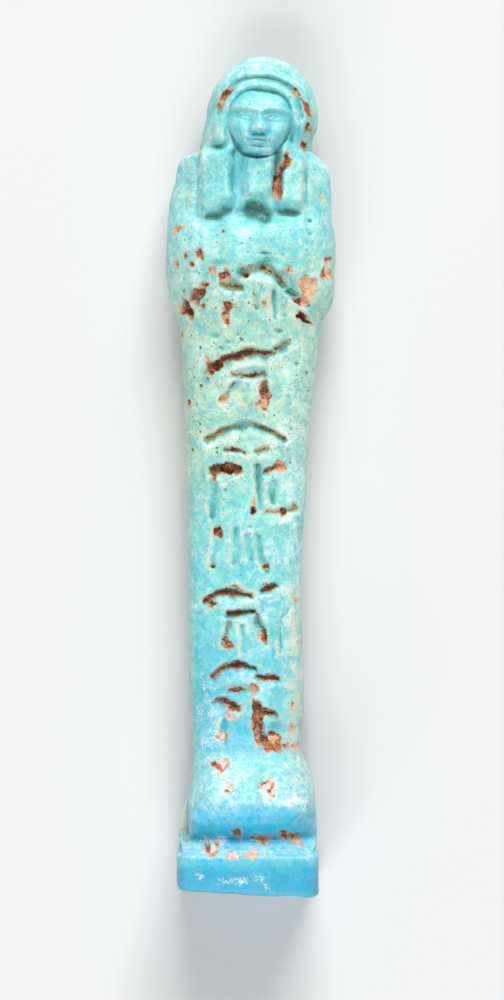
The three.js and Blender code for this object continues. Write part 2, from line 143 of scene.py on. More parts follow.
def grain(points, cell, seed):
    """Smooth random values from -1 to 1 in space: random numbers on a lattice of that cell size,
    blended along the three axes by 3s^2 - 2s^3."""
    side, shift = 64, 200
    lattice = np.random.default_rng(seed).uniform(-1, 1, (side, side, side))
    place = points / cell + shift
    whole = np.floor(place).astype(int)
    s = place - whole
    s = s * s * (3 - 2 * s)
    i, j, k = (whole[..., axis] % side for axis in range(3))
    i2, j2, k2 = (i + 1) % side, (j + 1) % side, (k + 1) % side
    sx, sy, sz = s[..., 0], s[..., 1], s[..., 2]

    def on_layer(layer):
        """The four corners of the cell on that layer, blended along x and y."""
        lower = mix(lattice[i, j, layer], lattice[i2, j, layer], sx)
        upper = mix(lattice[i, j2, layer], lattice[i2, j2, layer], sx)
        return mix(lower, upper, sy)

    return mix(on_layer(k), on_layer(k2), sz)


def grain_flat(x, t, cell, seed):
    """The same random values read on the plane of the front, for edges that waver."""
    return grain(np.stack([x, t, np.zeros_like(x)], axis=-1), cell, seed)


def superellipse(offset, half, power):
    """(1 - |offset/half|^power)^(1/power): 1 in the middle, and 0 at the half width."""
    out = np.clip(np.abs(offset) / np.maximum(half, 1e-6), 0, 1)
    return (1 - out**power) ** (1 / power)


# Rows go from the middle of the underside up to the crown, and are closest on the head.
UNDERSIDE_ROWS = 14
UPPER_BEVEL, FILLET_TOP = BASE_HEIGHT - BASE_BEVEL, BASE_HEIGHT + BASE_FILLET
ROW_RUNS = [  # lower end, upper end, rows
    (0.0, BASE_BEVEL, 8), (BASE_BEVEL, UPPER_BEVEL, 16), (UPPER_BEVEL, BASE_HEIGHT, 7),
    (BASE_HEIGHT, FILLET_TOP, 11), (FILLET_TOP, 19.0, 66), (19.0, 79.0, 322),
    (79.0, 93.0, 84), (93.0, 104.2, 84),
]
CROWN_ROWS = 34
heights = [np.zeros(UNDERSIDE_ROWS)]
for start, end, count in ROW_RUNS:
    heights.append(np.linspace(start, end, count, endpoint=False))
closing = np.sin(np.linspace(0, np.pi / 2, CROWN_ROWS, endpoint=False))
heights.append(mix(ROW_RUNS[-1][1], LENGTH, closing))
heights = np.concatenate(heights)[:, None]
spread = np.ones_like(heights)
spread[:UNDERSIDE_ROWS, 0] = np.linspace(0.02, 0.985, UNDERSIDE_ROWS)

FRONT_COLUMNS = 112
FLANK_COLUMNS = 12
PILLAR_COLUMNS = 16
CROWDING = 0.3  # 0 spreads the front's columns by angle, more crowds them in the middle

# Edges, depths and powers of every row's section, as columns of numbers.
u = np.clip((heights - BASE_HEIGHT) / RISE, 0, 1)
top_share = np.clip((u - DOME_START) / (1 - DOME_START), 0, 1)
dome = np.sqrt(1 - top_share**2)
left, right = curve_through(OUTLINE, 1, u), curve_through(OUTLINE, 2, u)
fig_middle = (left + right) / 2 * HALF_WIDTH
fig_half = (right - left) / 2 * HALF_WIDTH * dome
fig_widest = curve_through(SECTIONS, 1, u) * FOREARM_DEPTH
fig_front = mix(fig_widest, curve_through(FRONT_PROFILE, 1, u) * FOREARM_DEPTH, dome)
fig_back = mix(fig_widest, mix(PILLAR_PROUD, HEAD_BACK, ease(u, 0.82, 0.87)), dome)
fig_power = curve_through(SECTIONS, 2, u)

base_height = np.clip(heights, 0, BASE_HEIGHT)
from_edge = np.clip(np.minimum(base_height, BASE_HEIGHT - base_height) / BASE_BEVEL, 0, 1)
draw_in = 0.8 * BASE_BEVEL * (1 - np.sqrt(1 - (1 - from_edge) ** 2))
base_half = BASE_WIDTH / 2 - draw_in
base_front = BASE_DEPTH - draw_in
base_widest = np.full_like(heights, BASE_DEPTH / 2)
joined = ease(heights, BASE_HEIGHT, BASE_HEIGHT + BASE_FILLET)

# The wig hangs in two lappets on the chest, and the worn beard is the broad strip between them.
# Deep pockets lie under their hems, above the band of the crossed forearms.
LAPPETS = [(-6.4, -2.5, 82.0, 0.35), (3.9, 6.9, 82.1, 0.1)]  # left, right, hem, slope of the hem
LAPPET_RAISE = 0.9
LAPPET_WAVER = 0.28
HEM_RUN = 1.4
BEARD = (-0.7, 2.75, 83.0)  # left, right, tip
BEARD_RAISE = 0.8
NECKLINE = 90.2
POCKETS = [  # x, t, half width, half height, depth
    (-4.6, 81.5, 1.6, 0.6, 0.7), (-3.0, 82.3, 0.9, 0.7, 0.4), (0.5, 82.0, 2.1, 1.2, 1.35),
    (1.9, 80.9, 0.8, 0.9, 0.6), (5.0, 81.8, 1.8, 0.75, 0.9), (-4.2, 90.2, 1.0, 0.7, 0.7),
]
BEARD_GROOVES = [(-1.5, 86.5, 0.9, 3.2, 0.25), (3.5, 86.5, 0.55, 2.8, 0.75)]  # in the same order
FOREARM_EDGE = 80.3
FOREARM_RAISE = 0.35
ARM_GROOVES = [  # x, lower end, upper end, depth
    (-8.15, 82.4, 88.8, 0.2), (-6.75, 77.3, 89.4, 0.22), (9.0, 83.0, 88.8, 0.2),
    (7.3, 75.8, 89.4, 0.14),
]
DENTS = [  # x, t, half width, half height, depth
    (7.6, 80.9, 0.4, 0.35, 0.35), (7.8, 79.2, 0.4, 0.4, 0.3), (7.3, 77.8, 0.35, 0.35, 0.25),
    (1.65, 76.6, 0.6, 0.25, 0.25), (5.0, 74.5, 0.7, 0.4, 0.35), (-4.6, 73.9, 0.35, 0.9, 0.3),
    (-0.6, 74.0, 0.9, 0.6, 0.35), (-4.6, 66.2, 0.8, 0.4, 0.22), (-2.9, 65.4, 0.7, 0.35, 0.2),
    (-1.6, 66.4, 0.45, 0.45, 0.2), (-3.8, 64.6, 0.6, 0.35, 0.18), (0.1, 65.3, 0.5, 0.35, 0.16),
    (3.6, 66.5, 0.6, 0.4, 0.26), (6.2, 62.4, 0.38, 0.34, 0.3), (-5.9, 60.3, 0.5, 0.7, 0.2),
    (5.0, 58.1, 0.4, 0.35, 0.2), (-1.0, 55.8, 0.4, 0.3, 0.15), (4.4, 68.8, 0.5, 0.4, 0.2),
    (-5.4, 53.6, 0.4, 0.35, 0.18), (0.2, 41.6, 0.5, 0.35, 0.2), (4.9, 40.4, 0.6, 0.45, 0.18),
]


def dress_relief(x, t):
    """Height of the dress above the plain body: bands for the lappets and the beard, round humps
    taken away for the pockets and the dents, and thin humps carried along the arms for the grooves.
    All edges waver by grain."""
    x = x + LAPPET_WAVER * grain_flat(x, t, 2.6, 41) + 0.1 * grain_flat(x, t, 0.9, 43)
    t = t + LAPPET_WAVER * grain_flat(x, t, 2.2, 42)
    below_neck = 1 - ease(t, NECKLINE - 0.9, NECKLINE + 1.0)
    raised = np.zeros_like(x)
    for inner, outer, hem, slope in LAPPETS:
        hem_here = hem + slope * (x - (inner + outer) / 2)
        over_hem = ease(t, hem_here - 0.4, hem_here + HEM_RUN)
        raised += LAPPET_RAISE * band(x, inner, outer, 0.45) * over_hem
    beard_left, beard_right, tip = BEARD
    over_tip = ease(t, tip - 0.4, tip + HEM_RUN)
    raised += BEARD_RAISE * band(x, beard_left, beard_right, 0.55) * over_tip
    raised *= below_neck
    for px, pt, rx, ry, depth in POCKETS + BEARD_GROOVES + DENTS:
        raised -= depth * hump(x - px, t - pt, rx, ry)
    edge_here = FOREARM_EDGE + 0.25 * np.sin(0.5 * x)
    under_edge = 1 - ease(t, edge_here - 0.45, edge_here + 0.45)
    raised += FOREARM_RAISE * band(x, -7.6, 7.4, 0.8) * ease(t, 64, 72) * under_edge
    for gx, start, end, depth in ARM_GROOVES:
        raised -= depth * hump(x - gx, 0, 0.42, 1) * band(t, start, end, 0.8)
    return raised


# The feet stand on the base as one block, parted by a shallow cleft. On the left a strip of the
# mould's seam stands out lower down, bare of glaze.
CLEFT = (0.6, 3.0, 10.5, 0.8, 0.35)  # x, lower end, upper end, half width, depth
SEAM_EDGE = -7.85
SEAM_DEPTH = 7.6
SEAM_RUN = (1.3, 8.6)


def feet_relief(x, t):
    """A thin hump taken away along the cleft between the feet."""
    cleft_x, start, end, width, depth = CLEFT
    return -depth * hump(x - cleft_x, 0, width, 1) * band(t, start, end, 1.5)


def on_seam(x, t):
    """1 on the strip left of the feet, and 0 elsewhere. The strip narrows towards its top."""
    start, end = SEAM_RUN
    inward = SEAM_EDGE - 0.5 * ease(t, end - 3, end)
    return (1 - ease(x, inward - 0.3, inward + 0.1)) * band(t, start, end, 0.6)


# The face is a calm one in equal thirds, framed by the wig's inner band, with an ear to each side.
# A groove parts that band from the wig's crown.
HEAD_LEAN = 0.077
FACE_X, FACE_T = 1.2, 93.3
FACE_HIGH, FACE_WIDE = 4.35, 4.15
JAW_TAPER = 0.2
THIRD = 2 * FACE_HIGH / 3
BROW_LINE = FACE_HIGH - THIRD
NOSE_BASE = BROW_LINE - THIRD
EYE_LINE = BROW_LINE - 0.3 * THIRD
MOUTH_LINE = NOSE_BASE - 0.34 * THIRD
CHIN_LINE = -FACE_HIGH + 0.24 * THIRD
EYE_APART = 0.43 * FACE_WIDE
FACE_PROFILE = [  # height on the face, then the depth of its middle
    (-FACE_HIGH - 0.7, 12.3), (-FACE_HIGH, 13.1), (CHIN_LINE, 14.35),
    (mix(CHIN_LINE, MOUTH_LINE, 0.5), 14.1), (MOUTH_LINE, 14.45), (NOSE_BASE, 14.3),
    (EYE_LINE, 13.9), (BROW_LINE, 14.2), (FACE_HIGH - 1, 13.8), (FACE_HIGH, 13.1),
]
EARS = (5.35, -0.7, 0.72, 1.35, 0.95)  # from the face's middle, height on it, half sizes, raise


def feature_relief(h, v):
    """Nose, brows, eyes, cheeks, lips and chin as round humps about the middle line of the face."""
    side = np.abs(h)
    to_eye, above_eye = side - EYE_APART, v - EYE_LINE
    on_nose = ease(v, NOSE_BASE - 0.22, NOSE_BASE + 0.28)
    on_nose = on_nose * (1 - ease(v, NOSE_BASE + 0.4, BROW_LINE))
    bridge = band(v, NOSE_BASE, BROW_LINE, 0.4)
    raised = 1.15 * on_nose * hump(h, 0, 0.85, 1) + 0.5 * bridge * hump(h, 0, 0.55, 1)
    raised += 0.42 * hump(side - 0.82, v - NOSE_BASE - 0.32, 0.36, 0.4)
    raised -= 0.3 * hump(side - 0.42, v - NOSE_BASE + 0.12, 0.2, 0.16)
    brow_bow = BROW_LINE + 0.25 - 0.13 * (to_eye / 1.1) ** 2
    raised += 0.34 * hump(to_eye, 0, 1.75, 1) * hump(v - brow_bow, 0, 0.26, 1)
    raised -= 0.62 * hump(to_eye, above_eye + 0.05, 1.4, 0.8)
    raised += 0.5 * hump(to_eye, above_eye, 0.9, 0.42)
    lid = 0.44 - 0.42 * (to_eye / 1.15) ** 2
    at_lid = ease(1.3 - np.abs(to_eye), 0, 0.25)
    raised += 0.17 * at_lid * hump(above_eye - lid, 0, 0.14, 1)
    raised += 0.13 * at_lid * hump(above_eye + lid * 0.85, 0, 0.13, 1)
    raised += 0.32 * hump(side - 2.35, v - NOSE_BASE - 0.45, 1.2, 1.2)
    raised -= 0.12 * hump(h, v - mix(NOSE_BASE, MOUTH_LINE, 0.5), 0.22, 0.3)
    upper_lip = MOUTH_LINE + 0.27 + 0.09 * np.cos(2.6 * h)
    raised += 0.32 * hump(h, v - upper_lip, 1.2, 0.24)
    raised += 0.36 * hump(h, v - MOUTH_LINE + 0.31, 0.95, 0.27)
    raised -= 0.34 * hump(h, v - MOUTH_LINE - 0.03 * np.cos(2.6 * h), 1.35, 0.11)
    raised -= 0.2 * hump(side - 1.45, v - MOUTH_LINE, 0.22, 0.25)
    raised -= 0.2 * hump(h, v - MOUTH_LINE + 0.78, 1.0, 0.2)
    raised += 0.25 * hump(h, v - CHIN_LINE, 0.95, 0.6)
    return raised


def head_surface(x, t, wig):
    """Puts the face, its frame and its ears into the wig's surface.

    out = ((|h|/width)^p + (|v|/height)^p)^(1/p) is 1 on the outline of the face, whose width
    narrows towards the chin. The face bulges from that outline, the frame is a band just outside
    it, and the groove is a hump taken away.
    """
    dx = x - FACE_X + 0.1 * grain_flat(x, t, 2.1, 51)
    dt = t - FACE_T + 0.1 * grain_flat(x, t, 2.1, 52)
    h = dx * np.cos(HEAD_LEAN) - dt * np.sin(HEAD_LEAN)
    v = dx * np.sin(HEAD_LEAN) + dt * np.cos(HEAD_LEAN)
    power = 2.4
    reach = np.where(v > 0, FACE_HIGH, 1.1 * FACE_HIGH)
    wide = FACE_WIDE * (1 - JAW_TAPER * ease(-v, 0, FACE_HIGH))
    out = ((np.abs(h) / wide) ** power + (np.abs(v) / reach) ** power) ** (1 / power)
    beyond = (out - 1) * FACE_WIDE
    inside = ease(-beyond, -0.18, 0.3) * ease(v, -FACE_HIGH - 0.7, -FACE_HIGH + 0.1)
    bulge = (1 - np.clip(out, 0, 1) ** 2.6) ** (1 / 2.0)
    face = mix(wig - 1.0, curve_through(FACE_PROFILE, 1, v), bulge)
    face += feature_relief(h, v) * ease(-beyond, -0.2, 0.5)
    upper = ease(v, -1.2, 0.6)
    frame_band = 0.3 * band(beyond, 0.1, 0.85, 0.18) * upper
    groove = 0.75 * hump(beyond - 1.25, 0, 0.36, 1) * ease(v, 0.2, 1.2)
    ear_side, ear_v, ear_rx, ear_ry, ear_raise = EARS
    side = np.abs(h) - ear_side
    ear = ear_raise * hump(side, v - ear_v, ear_rx, ear_ry)
    ear -= 0.5 * hump(side + 0.12, v - ear_v + 0.1, 0.3, 0.75)
    ear -= 0.35 * hump(np.abs(side) - 1.0, v - ear_v, 0.3, 1.5)
    return mix(wig + frame_band - groove + ear, face, inside)


# The inscription's place holds eight rows of plain strokes, pressed with a blunt stick while the
# paste was damp, so that each cut has a small lip. They spell nothing.
STROKES = [  # x, t, length, turn in degrees, bow of the middle, width, depth share, fill of earth
    (1.7, 73.5, 5.0, -14, 0.9, 1.4, 1.0, -0.1), (6.1, 71.1, 2.8, -36, 0.0, 1.0, 0.9, 0.0),
    (-2.6, 72.2, 2.6, -6, 0.0, 1.3, 0.9, -0.1), (1.1, 70.9, 2.8, 82, 0.0, 1.3, 0.3, 0),
    (3.1, 70.0, 3.2, 92, 0.0, 1.3, 0.32, 0), (-1.2, 62.9, 8.2, 15, 0.5, 1.2, 1.0, 0.55),
    (4.2, 64.7, 1.6, 22, 0.0, 1.2, 0.9, 0.1), (-0.2, 61.0, 3.6, 0, 0.0, 1.0, 0.8, 0.1),
    (-2.7, 58.8, 2.6, 50, 0.0, 0.9, 0.5, 0.1), (1.9, 58.3, 3.0, 98, 0.0, 1.1, 0.6, 0.3),
    (-0.3, 58.6, 2.4, 86, 0.0, 1.2, 0.4, 0), (-0.6, 52.8, 9.6, 3, 1.7, 1.1, 0.9, -0.15),
    (-2.0, 51.3, 2.2, -4, 0.0, 0.9, 0.6, 0.1), (1.4, 51.4, 1.8, 8, 0.0, 0.9, 0.6, 0.1),
    (-3.1, 48.8, 2.9, 4, 0.0, 1.2, 0.9, 0.8), (-4.7, 45.2, 5.0, 86, 0.0, 1.4, 0.45, 0),
    (1.2, 46.5, 5.6, 94, 0.0, 1.5, 0.55, 0), (3.1, 48.8, 2.6, 14, 0.0, 1.1, 0.7, 0.1),
    (3.7, 43.5, 3.4, 8, 0.0, 1.1, 0.7, 0.05), (3.2, 45.9, 2.6, 90, 0.0, 1.3, 0.4, 0),
    (-4.5, 38.6, 4.8, 84, 0.0, 1.6, 0.5, 0), (-2.0, 38.8, 4.6, 88, 0.0, 1.2, 0.5, 0),
    (1.6, 37.9, 4.4, 104, 0.0, 1.5, 0.6, 0), (-0.2, 38.6, 3.0, 98, 0.0, 1.2, 0.4, 0),
    (-2.8, 32.2, 5.6, 6, 0.7, 1.2, 1.0, 0.75), (2.4, 33.6, 2.2, 20, 0.0, 1.2, 0.9, 0.75),
    (-1.3, 30.4, 3.2, 2, 0.0, 1.1, 0.9, 0.75), (-2.9, 27.6, 3.0, 78, 0.0, 1.0, 0.5, 0.1),
    (1.3, 28.3, 3.8, 112, 0.0, 1.0, 0.5, 0.1), (-0.8, 26.8, 3.4, 90, 0.0, 1.3, 0.4, 0),
    (-2.0, 22.5, 5.4, 10, 0.9, 1.2, 1.0, 0.65), (2.1, 21.8, 2.6, -8, 0.0, 1.1, 0.9, 0.5),
    (-1.1, 20.3, 3.6, 3, 0.0, 0.9, 0.5, 0.1), (-2.8, 18.4, 3.0, -14, 0.0, 1.2, 0.9, 0.4),
    (1.2, 16.3, 5.4, 98, 0.0, 1.2, 0.7, 0.3), (2.6, 17.5, 2.0, -22, 0.0, 1.0, 0.7, 0.5),
    (-3.4, 15.2, 2.6, 84, 0.0, 1.3, 0.4, 0), (4.1, 27.2, 4.6, 88, 0.0, 0.4, 0.3, 0),
    (4.6, 30.2, 1.6, 52, 0.0, 0.4, 0.3, 0),
]
STROKE_DEPTH = 0.78
BELOW_RUN = 0.75


def distance_to_stroke(x, t, stroke):
    """Distance to a bowed line, the share s along it from -1 to 1, and how far below it t is.

    The middle of the line is off by bow * (1 - s^2). Past its ends the distance is the one to the
    end point."""
    sx, st, length, turn, bow = stroke[:5]
    angle = np.radians(turn)
    along = (x - sx) * np.cos(angle) + (t - st) * np.sin(angle)
    across = (t - st) * np.cos(angle) - (x - sx) * np.sin(angle)
    s = np.clip(2 * along / length, -1, 1)
    off = across - bow * (1 - s * s)
    return np.hypot(along - s * length / 2, off), s, -off * np.cos(angle)


def strokes_relief(x, t):
    """Depth of the cuts, the lips just outside them, how far a point lies inside their earth, how
    high up in it, which marks the earth's upper side for painted shade, and the rubbed burrs left
    of the upright cuts.

    The places wander by grain, a cut narrows by a share of s^2 to its ends, and its width and its
    depth swell and shrink by grain along it. Below its middle the distance is divided by up to
    1 + BELOW_RUN, so a cut is steep above and gentle below. Earth reaches from the middle out to
    its fill's share of the half width, and is 0.5 at that edge.
    """
    cut, lip, earth, upper, burr = (np.zeros_like(x) for _ in range(5))
    wander_x = 0.3 * grain_flat(x, t, 1.9, 21) + 0.12 * grain_flat(x, t, 0.6, 23)
    wander_t = 0.3 * grain_flat(x, t, 1.9, 22) + 0.12 * grain_flat(x, t, 0.6, 24)
    swell = 1 + 0.4 * grain_flat(x, t, 1.5, 25)
    deepness = 0.82 + 0.3 * grain_flat(x, t, 2.4, 26)
    more = 0.45 * grain_flat(x, t, 1.7, 27)
    for stroke in STROKES:
        width, depth, fill = stroke[5:]
        away, s, below = distance_to_stroke(x + wander_x, t + wander_t, stroke)
        half = width / 2 * (1 - 0.35 * s * s) * swell
        reach = away / (1 + BELOW_RUN * ease(below, 0, 0.4))
        cut = np.maximum(cut, (1 - ease(reach, 0.1 * half, 1.05 * half + 0.1)) * depth * deepness)
        # Painted highlight: the lip is raised higher and painted paler on the side below the cut,
        # which faces the light beyond the head.
        lit = mix(0.25, 1, ease(below, -0.1, 0.6)) * depth
        lip = np.maximum(lip, hump(reach - half - 0.3, 0, 0.3, 1) * lit)
        upright = np.sin(np.radians(stroke[3])) ** 4
        leftward = ease((stroke[0] - x) / half, 0.3, 1.0)
        burr = np.maximum(burr, upright * leftward * hump(away - half - 0.15, 0, 0.28, 1))
        if fill != 0:
            inside = np.clip(0.5 + 0.85 * half * (fill + more - (away + 0.22 * below) / half), 0, 1)
            # Painted shade: the earth's upper side in a cut, which the light beyond the head does
            # not reach, is marked to be coloured darker.
            upper = np.where(inside > earth, 1 - ease(below, -0.3 * half, 0.5 * half), upper)
            earth = np.maximum(earth, inside)
    return cut, lip * (1 - ease(cut, 0, 0.25)), earth, upper, burr * (1 - ease(cut, 0.1, 0.5))


# Chips lay the pale core bare, and red-brown earth fills the deeper ones and many of the cuts.
CHIPS = [  # x, t, half width, half height, turn in degrees, depth, share of earth
    (4.55, 88.3, 0.6, 1.4, -20, 0.35, 1.0), (3.55, 85.6, 0.52, 1.9, -6, 0.35, 1.0),
    (6.2, 97.1, 0.35, 1.0, 35, 0.1, 0.9), (7.1, 95.6, 0.4, 1.5, 30, 0.2, 1.0),
    (-3.2, 96.8, 0.4, 1.1, -48, 0.1, 0.8), (-3.9, 95.7, 0.35, 0.5, -30, 0.05, 0.5),
    (7.5, 92.9, 0.42, 0.55, 0, 0.15, 1.0), (7.1, 90.5, 0.4, 0.5, 0, 0.15, 0.9),
    (8.1, 91.2, 0.22, 0.7, 0, 0.1, 0.7), (-6.45, 76.4, 0.4, 0.65, 5, 0.25, 0.8),
    (-8.3, 76.2, 0.22, 0.4, -10, 0.15, 0.7), (-7.6, 75.1, 0.3, 0.3, 0, 0.2, 0.9),
    (-9.5, 75.3, 0.2, 0.35, 0, 0.1, 0.7), (-9.4, 79.8, 0.7, 0.45, 10, 0.15, 0.3),
    (-6.9, 71.1, 0.8, 1.3, -35, 0.95, 1.0), (-8.4, 69.4, 0.75, 1.2, 42, 0.85, 0.9),
    (-5.9, 72.3, 0.5, 0.4, 30, 0.3, 0.7), (-6.1, 69.7, 0.25, 0.25, 0, 0.2, 1.0),
    (-9.0, 66.4, 0.3, 0.45, 20, 0.15, 0.7), (-3.2, 73.5, 0.65, 0.75, -20, 0.35, 0.45),
    (-4.9, 74.2, 0.35, 0.45, 0, 0.2, 0.3), (-2.95, 69.6, 0.75, 0.8, 0, 0.45, 0.85),
    (-3.15, 68.4, 0.42, 1.1, 4, 0.45, 0.95), (7.4, 72.0, 1.2, 1.9, -6, 0.24, 0.0),
    (9.85, 74.2, 0.6, 1.2, -10, 0.2, 0.15), (10.1, 75.9, 0.4, 0.3, 0, 0.2, 0.9),
    (6.9, 68.3, 1.0, 0.5, -38, 0.65, 1.0), (6.2, 70.4, 0.6, 0.35, -36, 0.3, 0.7),
    (0.05, 74.8, 0.3, 0.22, 0, 0.5, 1.0), (-3.5, 79.3, 0.2, 0.28, -20, 0.45, 1.0),
    (1.8, 70.1, 0.2, 0.25, 0, 0.2, 0.8), (-4.2, 62.2, 0.9, 0.5, 40, 0.5, 1.0),
    (-5.4, 62.6, 0.35, 0.8, 22, 0.2, 0.1), (-5.0, 61.2, 0.5, 0.6, 0, 0.2, 0.9),
    (1.95, 58.2, 0.6, 1.2, 4, 0.3, 0.55), (1.2, 57.2, 0.8, 0.4, 0, 0.2, 0.5),
    (-3.3, 57.8, 0.55, 0.6, 20, 0.25, 0.1), (-7.9, 57.4, 0.2, 0.3, 0, 0.1, 0.9),
    (-3.0, 48.9, 1.35, 0.5, 4, 0.6, 1.0), (-4.6, 48.0, 0.35, 0.9, 5, 0.15, 0.8),
    (3.9, 49.2, 0.75, 0.75, 10, 0.2, 0.0), (2.2, 48.6, 0.5, 0.4, 0, 0.2, 0.4),
    (0.35, 43.4, 0.34, 0.5, 0, 0.65, 1.0), (0.5, 44.7, 0.25, 0.7, 0, 0.1, 0.0),
    (4.35, 43.4, 0.42, 0.42, 0, 0.25, 0.75), (5.75, 44.0, 0.32, 0.5, 0, 0.2, 0.3),
    (-4.15, 40.7, 0.5, 0.65, 10, 0.3, 1.0), (-4.85, 36.3, 0.28, 0.24, 0, 0.2, 1.0),
    (2.05, 36.3, 0.25, 0.24, 0, 0.2, 0.8), (-5.0, 31.5, 0.6, 0.55, -30, 0.25, 1.0),
    (-2.9, 26.2, 0.65, 0.65, 0, 0.2, 0.5), (1.5, 27.3, 0.45, 0.6, 20, 0.15, 0.5),
    (0.5, 20.4, 0.35, 0.8, 0, 0.15, 0.3), (-2.1, 18.0, 1.0, 0.5, -10, 0.25, 0.9),
    (-2.6, 17.0, 0.6, 0.6, 0, 0.15, 0.3), (1.0, 17.4, 0.85, 1.5, -4, 0.35, 1.0),
    (0.9, 15.0, 0.4, 1.6, 0, 0.25, 0.9), (2.1, 17.6, 0.7, 0.4, -20, 0.2, 0.9),
    (2.8, 13.7, 1.3, 1.35, -24, 0.3, 0.75), (4.4, 13.2, 0.5, 0.25, 0, 0.1, 0.6),
    (5.3, 15.4, 0.25, 0.6, 0, 0.1, 0.2), (-3.6, 14.4, 0.7, 0.5, 10, 0.1, 0.4),
    (-3.8, 10.9, 1.1, 0.75, 0, 0.2, 0.8), (-2.7, 8.1, 0.75, 0.6, 0, 0.15, 0.5),
    (2.2, 8.6, 0.8, 0.6, 0, 0.15, 0.55), (2.9, 7.7, 0.6, 0.5, 0, 0.1, 0.2),
    (-1.7, 2.4, 0.6, 0.5, -35, 0.25, 1.0), (1.3, 1.7, 1.2, 0.42, -6, 0.2, 0.75),
    (4.6, 2.1, 0.9, 0.5, -10, 0.25, 0.95), (6.0, 1.5, 0.8, 0.5, -10, 0.2, 0.6),
    (-4.8, 0.5, 0.8, 0.8, 0, 0.2, 0.5), (-2.2, -0.2, 0.7, 0.4, 0, 0.1, 0.3),
    (0.2, -0.1, 0.8, 0.45, 0, 0.1, 0.25), (-0.5, 73.7, 0.42, 0.35, 0, 0.4, 0.9),
    (9.2, 84.1, 0.22, 0.55, 0, 0.08, 0.3), (-6.5, 90.3, 0.16, 0.8, 0, 0.08, 0.9),
    (5.1, 74.2, 0.45, 0.28, -30, 0.3, 0.6), (5.6, 18.2, 0.3, 0.5, 30, 0.06, 0.4),
    (6.0, 12.9, 0.3, 0.4, 0, 0.08, 0.6), (5.7, 32.2, 0.22, 0.4, 20, 0.05, 0.5),
]
CHIP_EDGE = 0.26
CORNER_3 = 0.17
CORNER_5 = 0.09
CORNER_TURN = 2.4  # how far the corners turn from one chip to the next


def chips_relief(x, t):
    """Depth of the chips, with how far each point lies inside bare core and inside earth, and how
    high up in the earth, which marks the earth's upper side and deep small pits for painted shade.

    A chip is an ellipse with three and five uneven corners, 1 + a cos(3w + p) + b cos(5w + 2p) at
    the angle w, and its edge wavers by grain: away is the share of that radius, less 1, plus the
    grain. Inside is 0.5 at the edge and grows inwards, and earth lies in patches of the grain that
    fill about its share of the chip.
    """
    depth, bare, earth, upper = (np.zeros_like(x) for _ in range(4))
    waver = grain_flat(x, t, 1.1, 34) + grain_flat(x, t, 0.55, 31)
    waver = CHIP_EDGE * (waver + 0.6 * grain_flat(x, t, 0.28, 32))
    patch = 0.7 * grain_flat(x, t, 0.6, 33)
    for number, (cx, ct, rx, ry, turn, deep, share) in enumerate(CHIPS):
        angle = np.radians(turn)
        along = (x - cx) * np.cos(angle) + (t - ct) * np.sin(angle)
        across = (t - ct) * np.cos(angle) - (x - cx) * np.sin(angle)
        round_it = np.arctan2(across / ry, along / rx)
        corners = 1 + CORNER_3 * np.cos(3 * round_it + CORNER_TURN * number)
        corners += CORNER_5 * np.cos(5 * round_it + 2 * CORNER_TURN * number)
        away = np.hypot(along / rx, across / ry) / corners - 1 + waver
        size = np.sqrt(rx * ry)
        away = away - waver * np.clip(1 - 0.7 / size, 0, 0.5)
        depth = np.maximum(depth, 1.4 * deep * (1 - ease(away, -0.35, 0.06)))
        bare = np.maximum(bare, np.clip(0.5 - away * size, 0, 1))
        filled = np.minimum(0.5 - (away + 0.06) * size, 0.5 + 1.5 * (share - 0.55 + patch))
        # Painted shade: the earth is marked darker on its upper side, away from the light beyond
        # the head, and all through a deep small pit.
        in_shade = ease(t - ct + 0.4 * waver, -0.1 * ry, 0.6 * ry)
        in_shade = np.maximum(in_shade, ease(deep / size, 0.6, 1.3))
        upper = np.where(filled > earth, in_shade, upper)
        earth = np.maximum(earth, np.clip(filled, 0, 1))
    return depth, bare, earth, upper


# The front of every row, from its right edge over the front to its left edge.
s = np.linspace(0, 1, FRONT_COLUMNS)[None, :]
angle = np.pi * (s + CROWDING * np.sin(2 * np.pi * s) / (2 * np.pi))
base_x = BASE_OFFSET + base_half * np.cos(angle)
base_z = mix(base_widest, base_front, superellipse(base_x - BASE_OFFSET, base_half, BASE_POWER))
fig_x = fig_middle + fig_half * np.cos(angle)
fig_t = u * RISE + 0 * fig_x
plain_z = mix(fig_widest, fig_front, superellipse(fig_x - fig_middle, fig_half, fig_power))
facing = ease(np.sin(angle), 0.05, 0.45) + 0 * fig_x
cut, lip, in_cuts, painted_shade_in_cuts, burr = strokes_relief(fig_x, fig_t)
relief = dress_relief(fig_x, fig_t) + feet_relief(fig_x, fig_t) - STROKE_DEPTH * cut + 0.1 * lip
dressed_z = plain_z + relief * facing
on_head = ease(fig_t, FACE_T - FACE_HIGH - 1.5, FACE_T - FACE_HIGH) * facing
dressed_z = mix(dressed_z, head_surface(fig_x, fig_t, dressed_z), on_head)
seam = on_seam(fig_x, fig_t)
dressed_z = mix(dressed_z, np.minimum(dressed_z, SEAM_DEPTH), seam)
front_x = mix(base_x, fig_x, joined)
front_z = mix(base_z, dressed_z, joined)

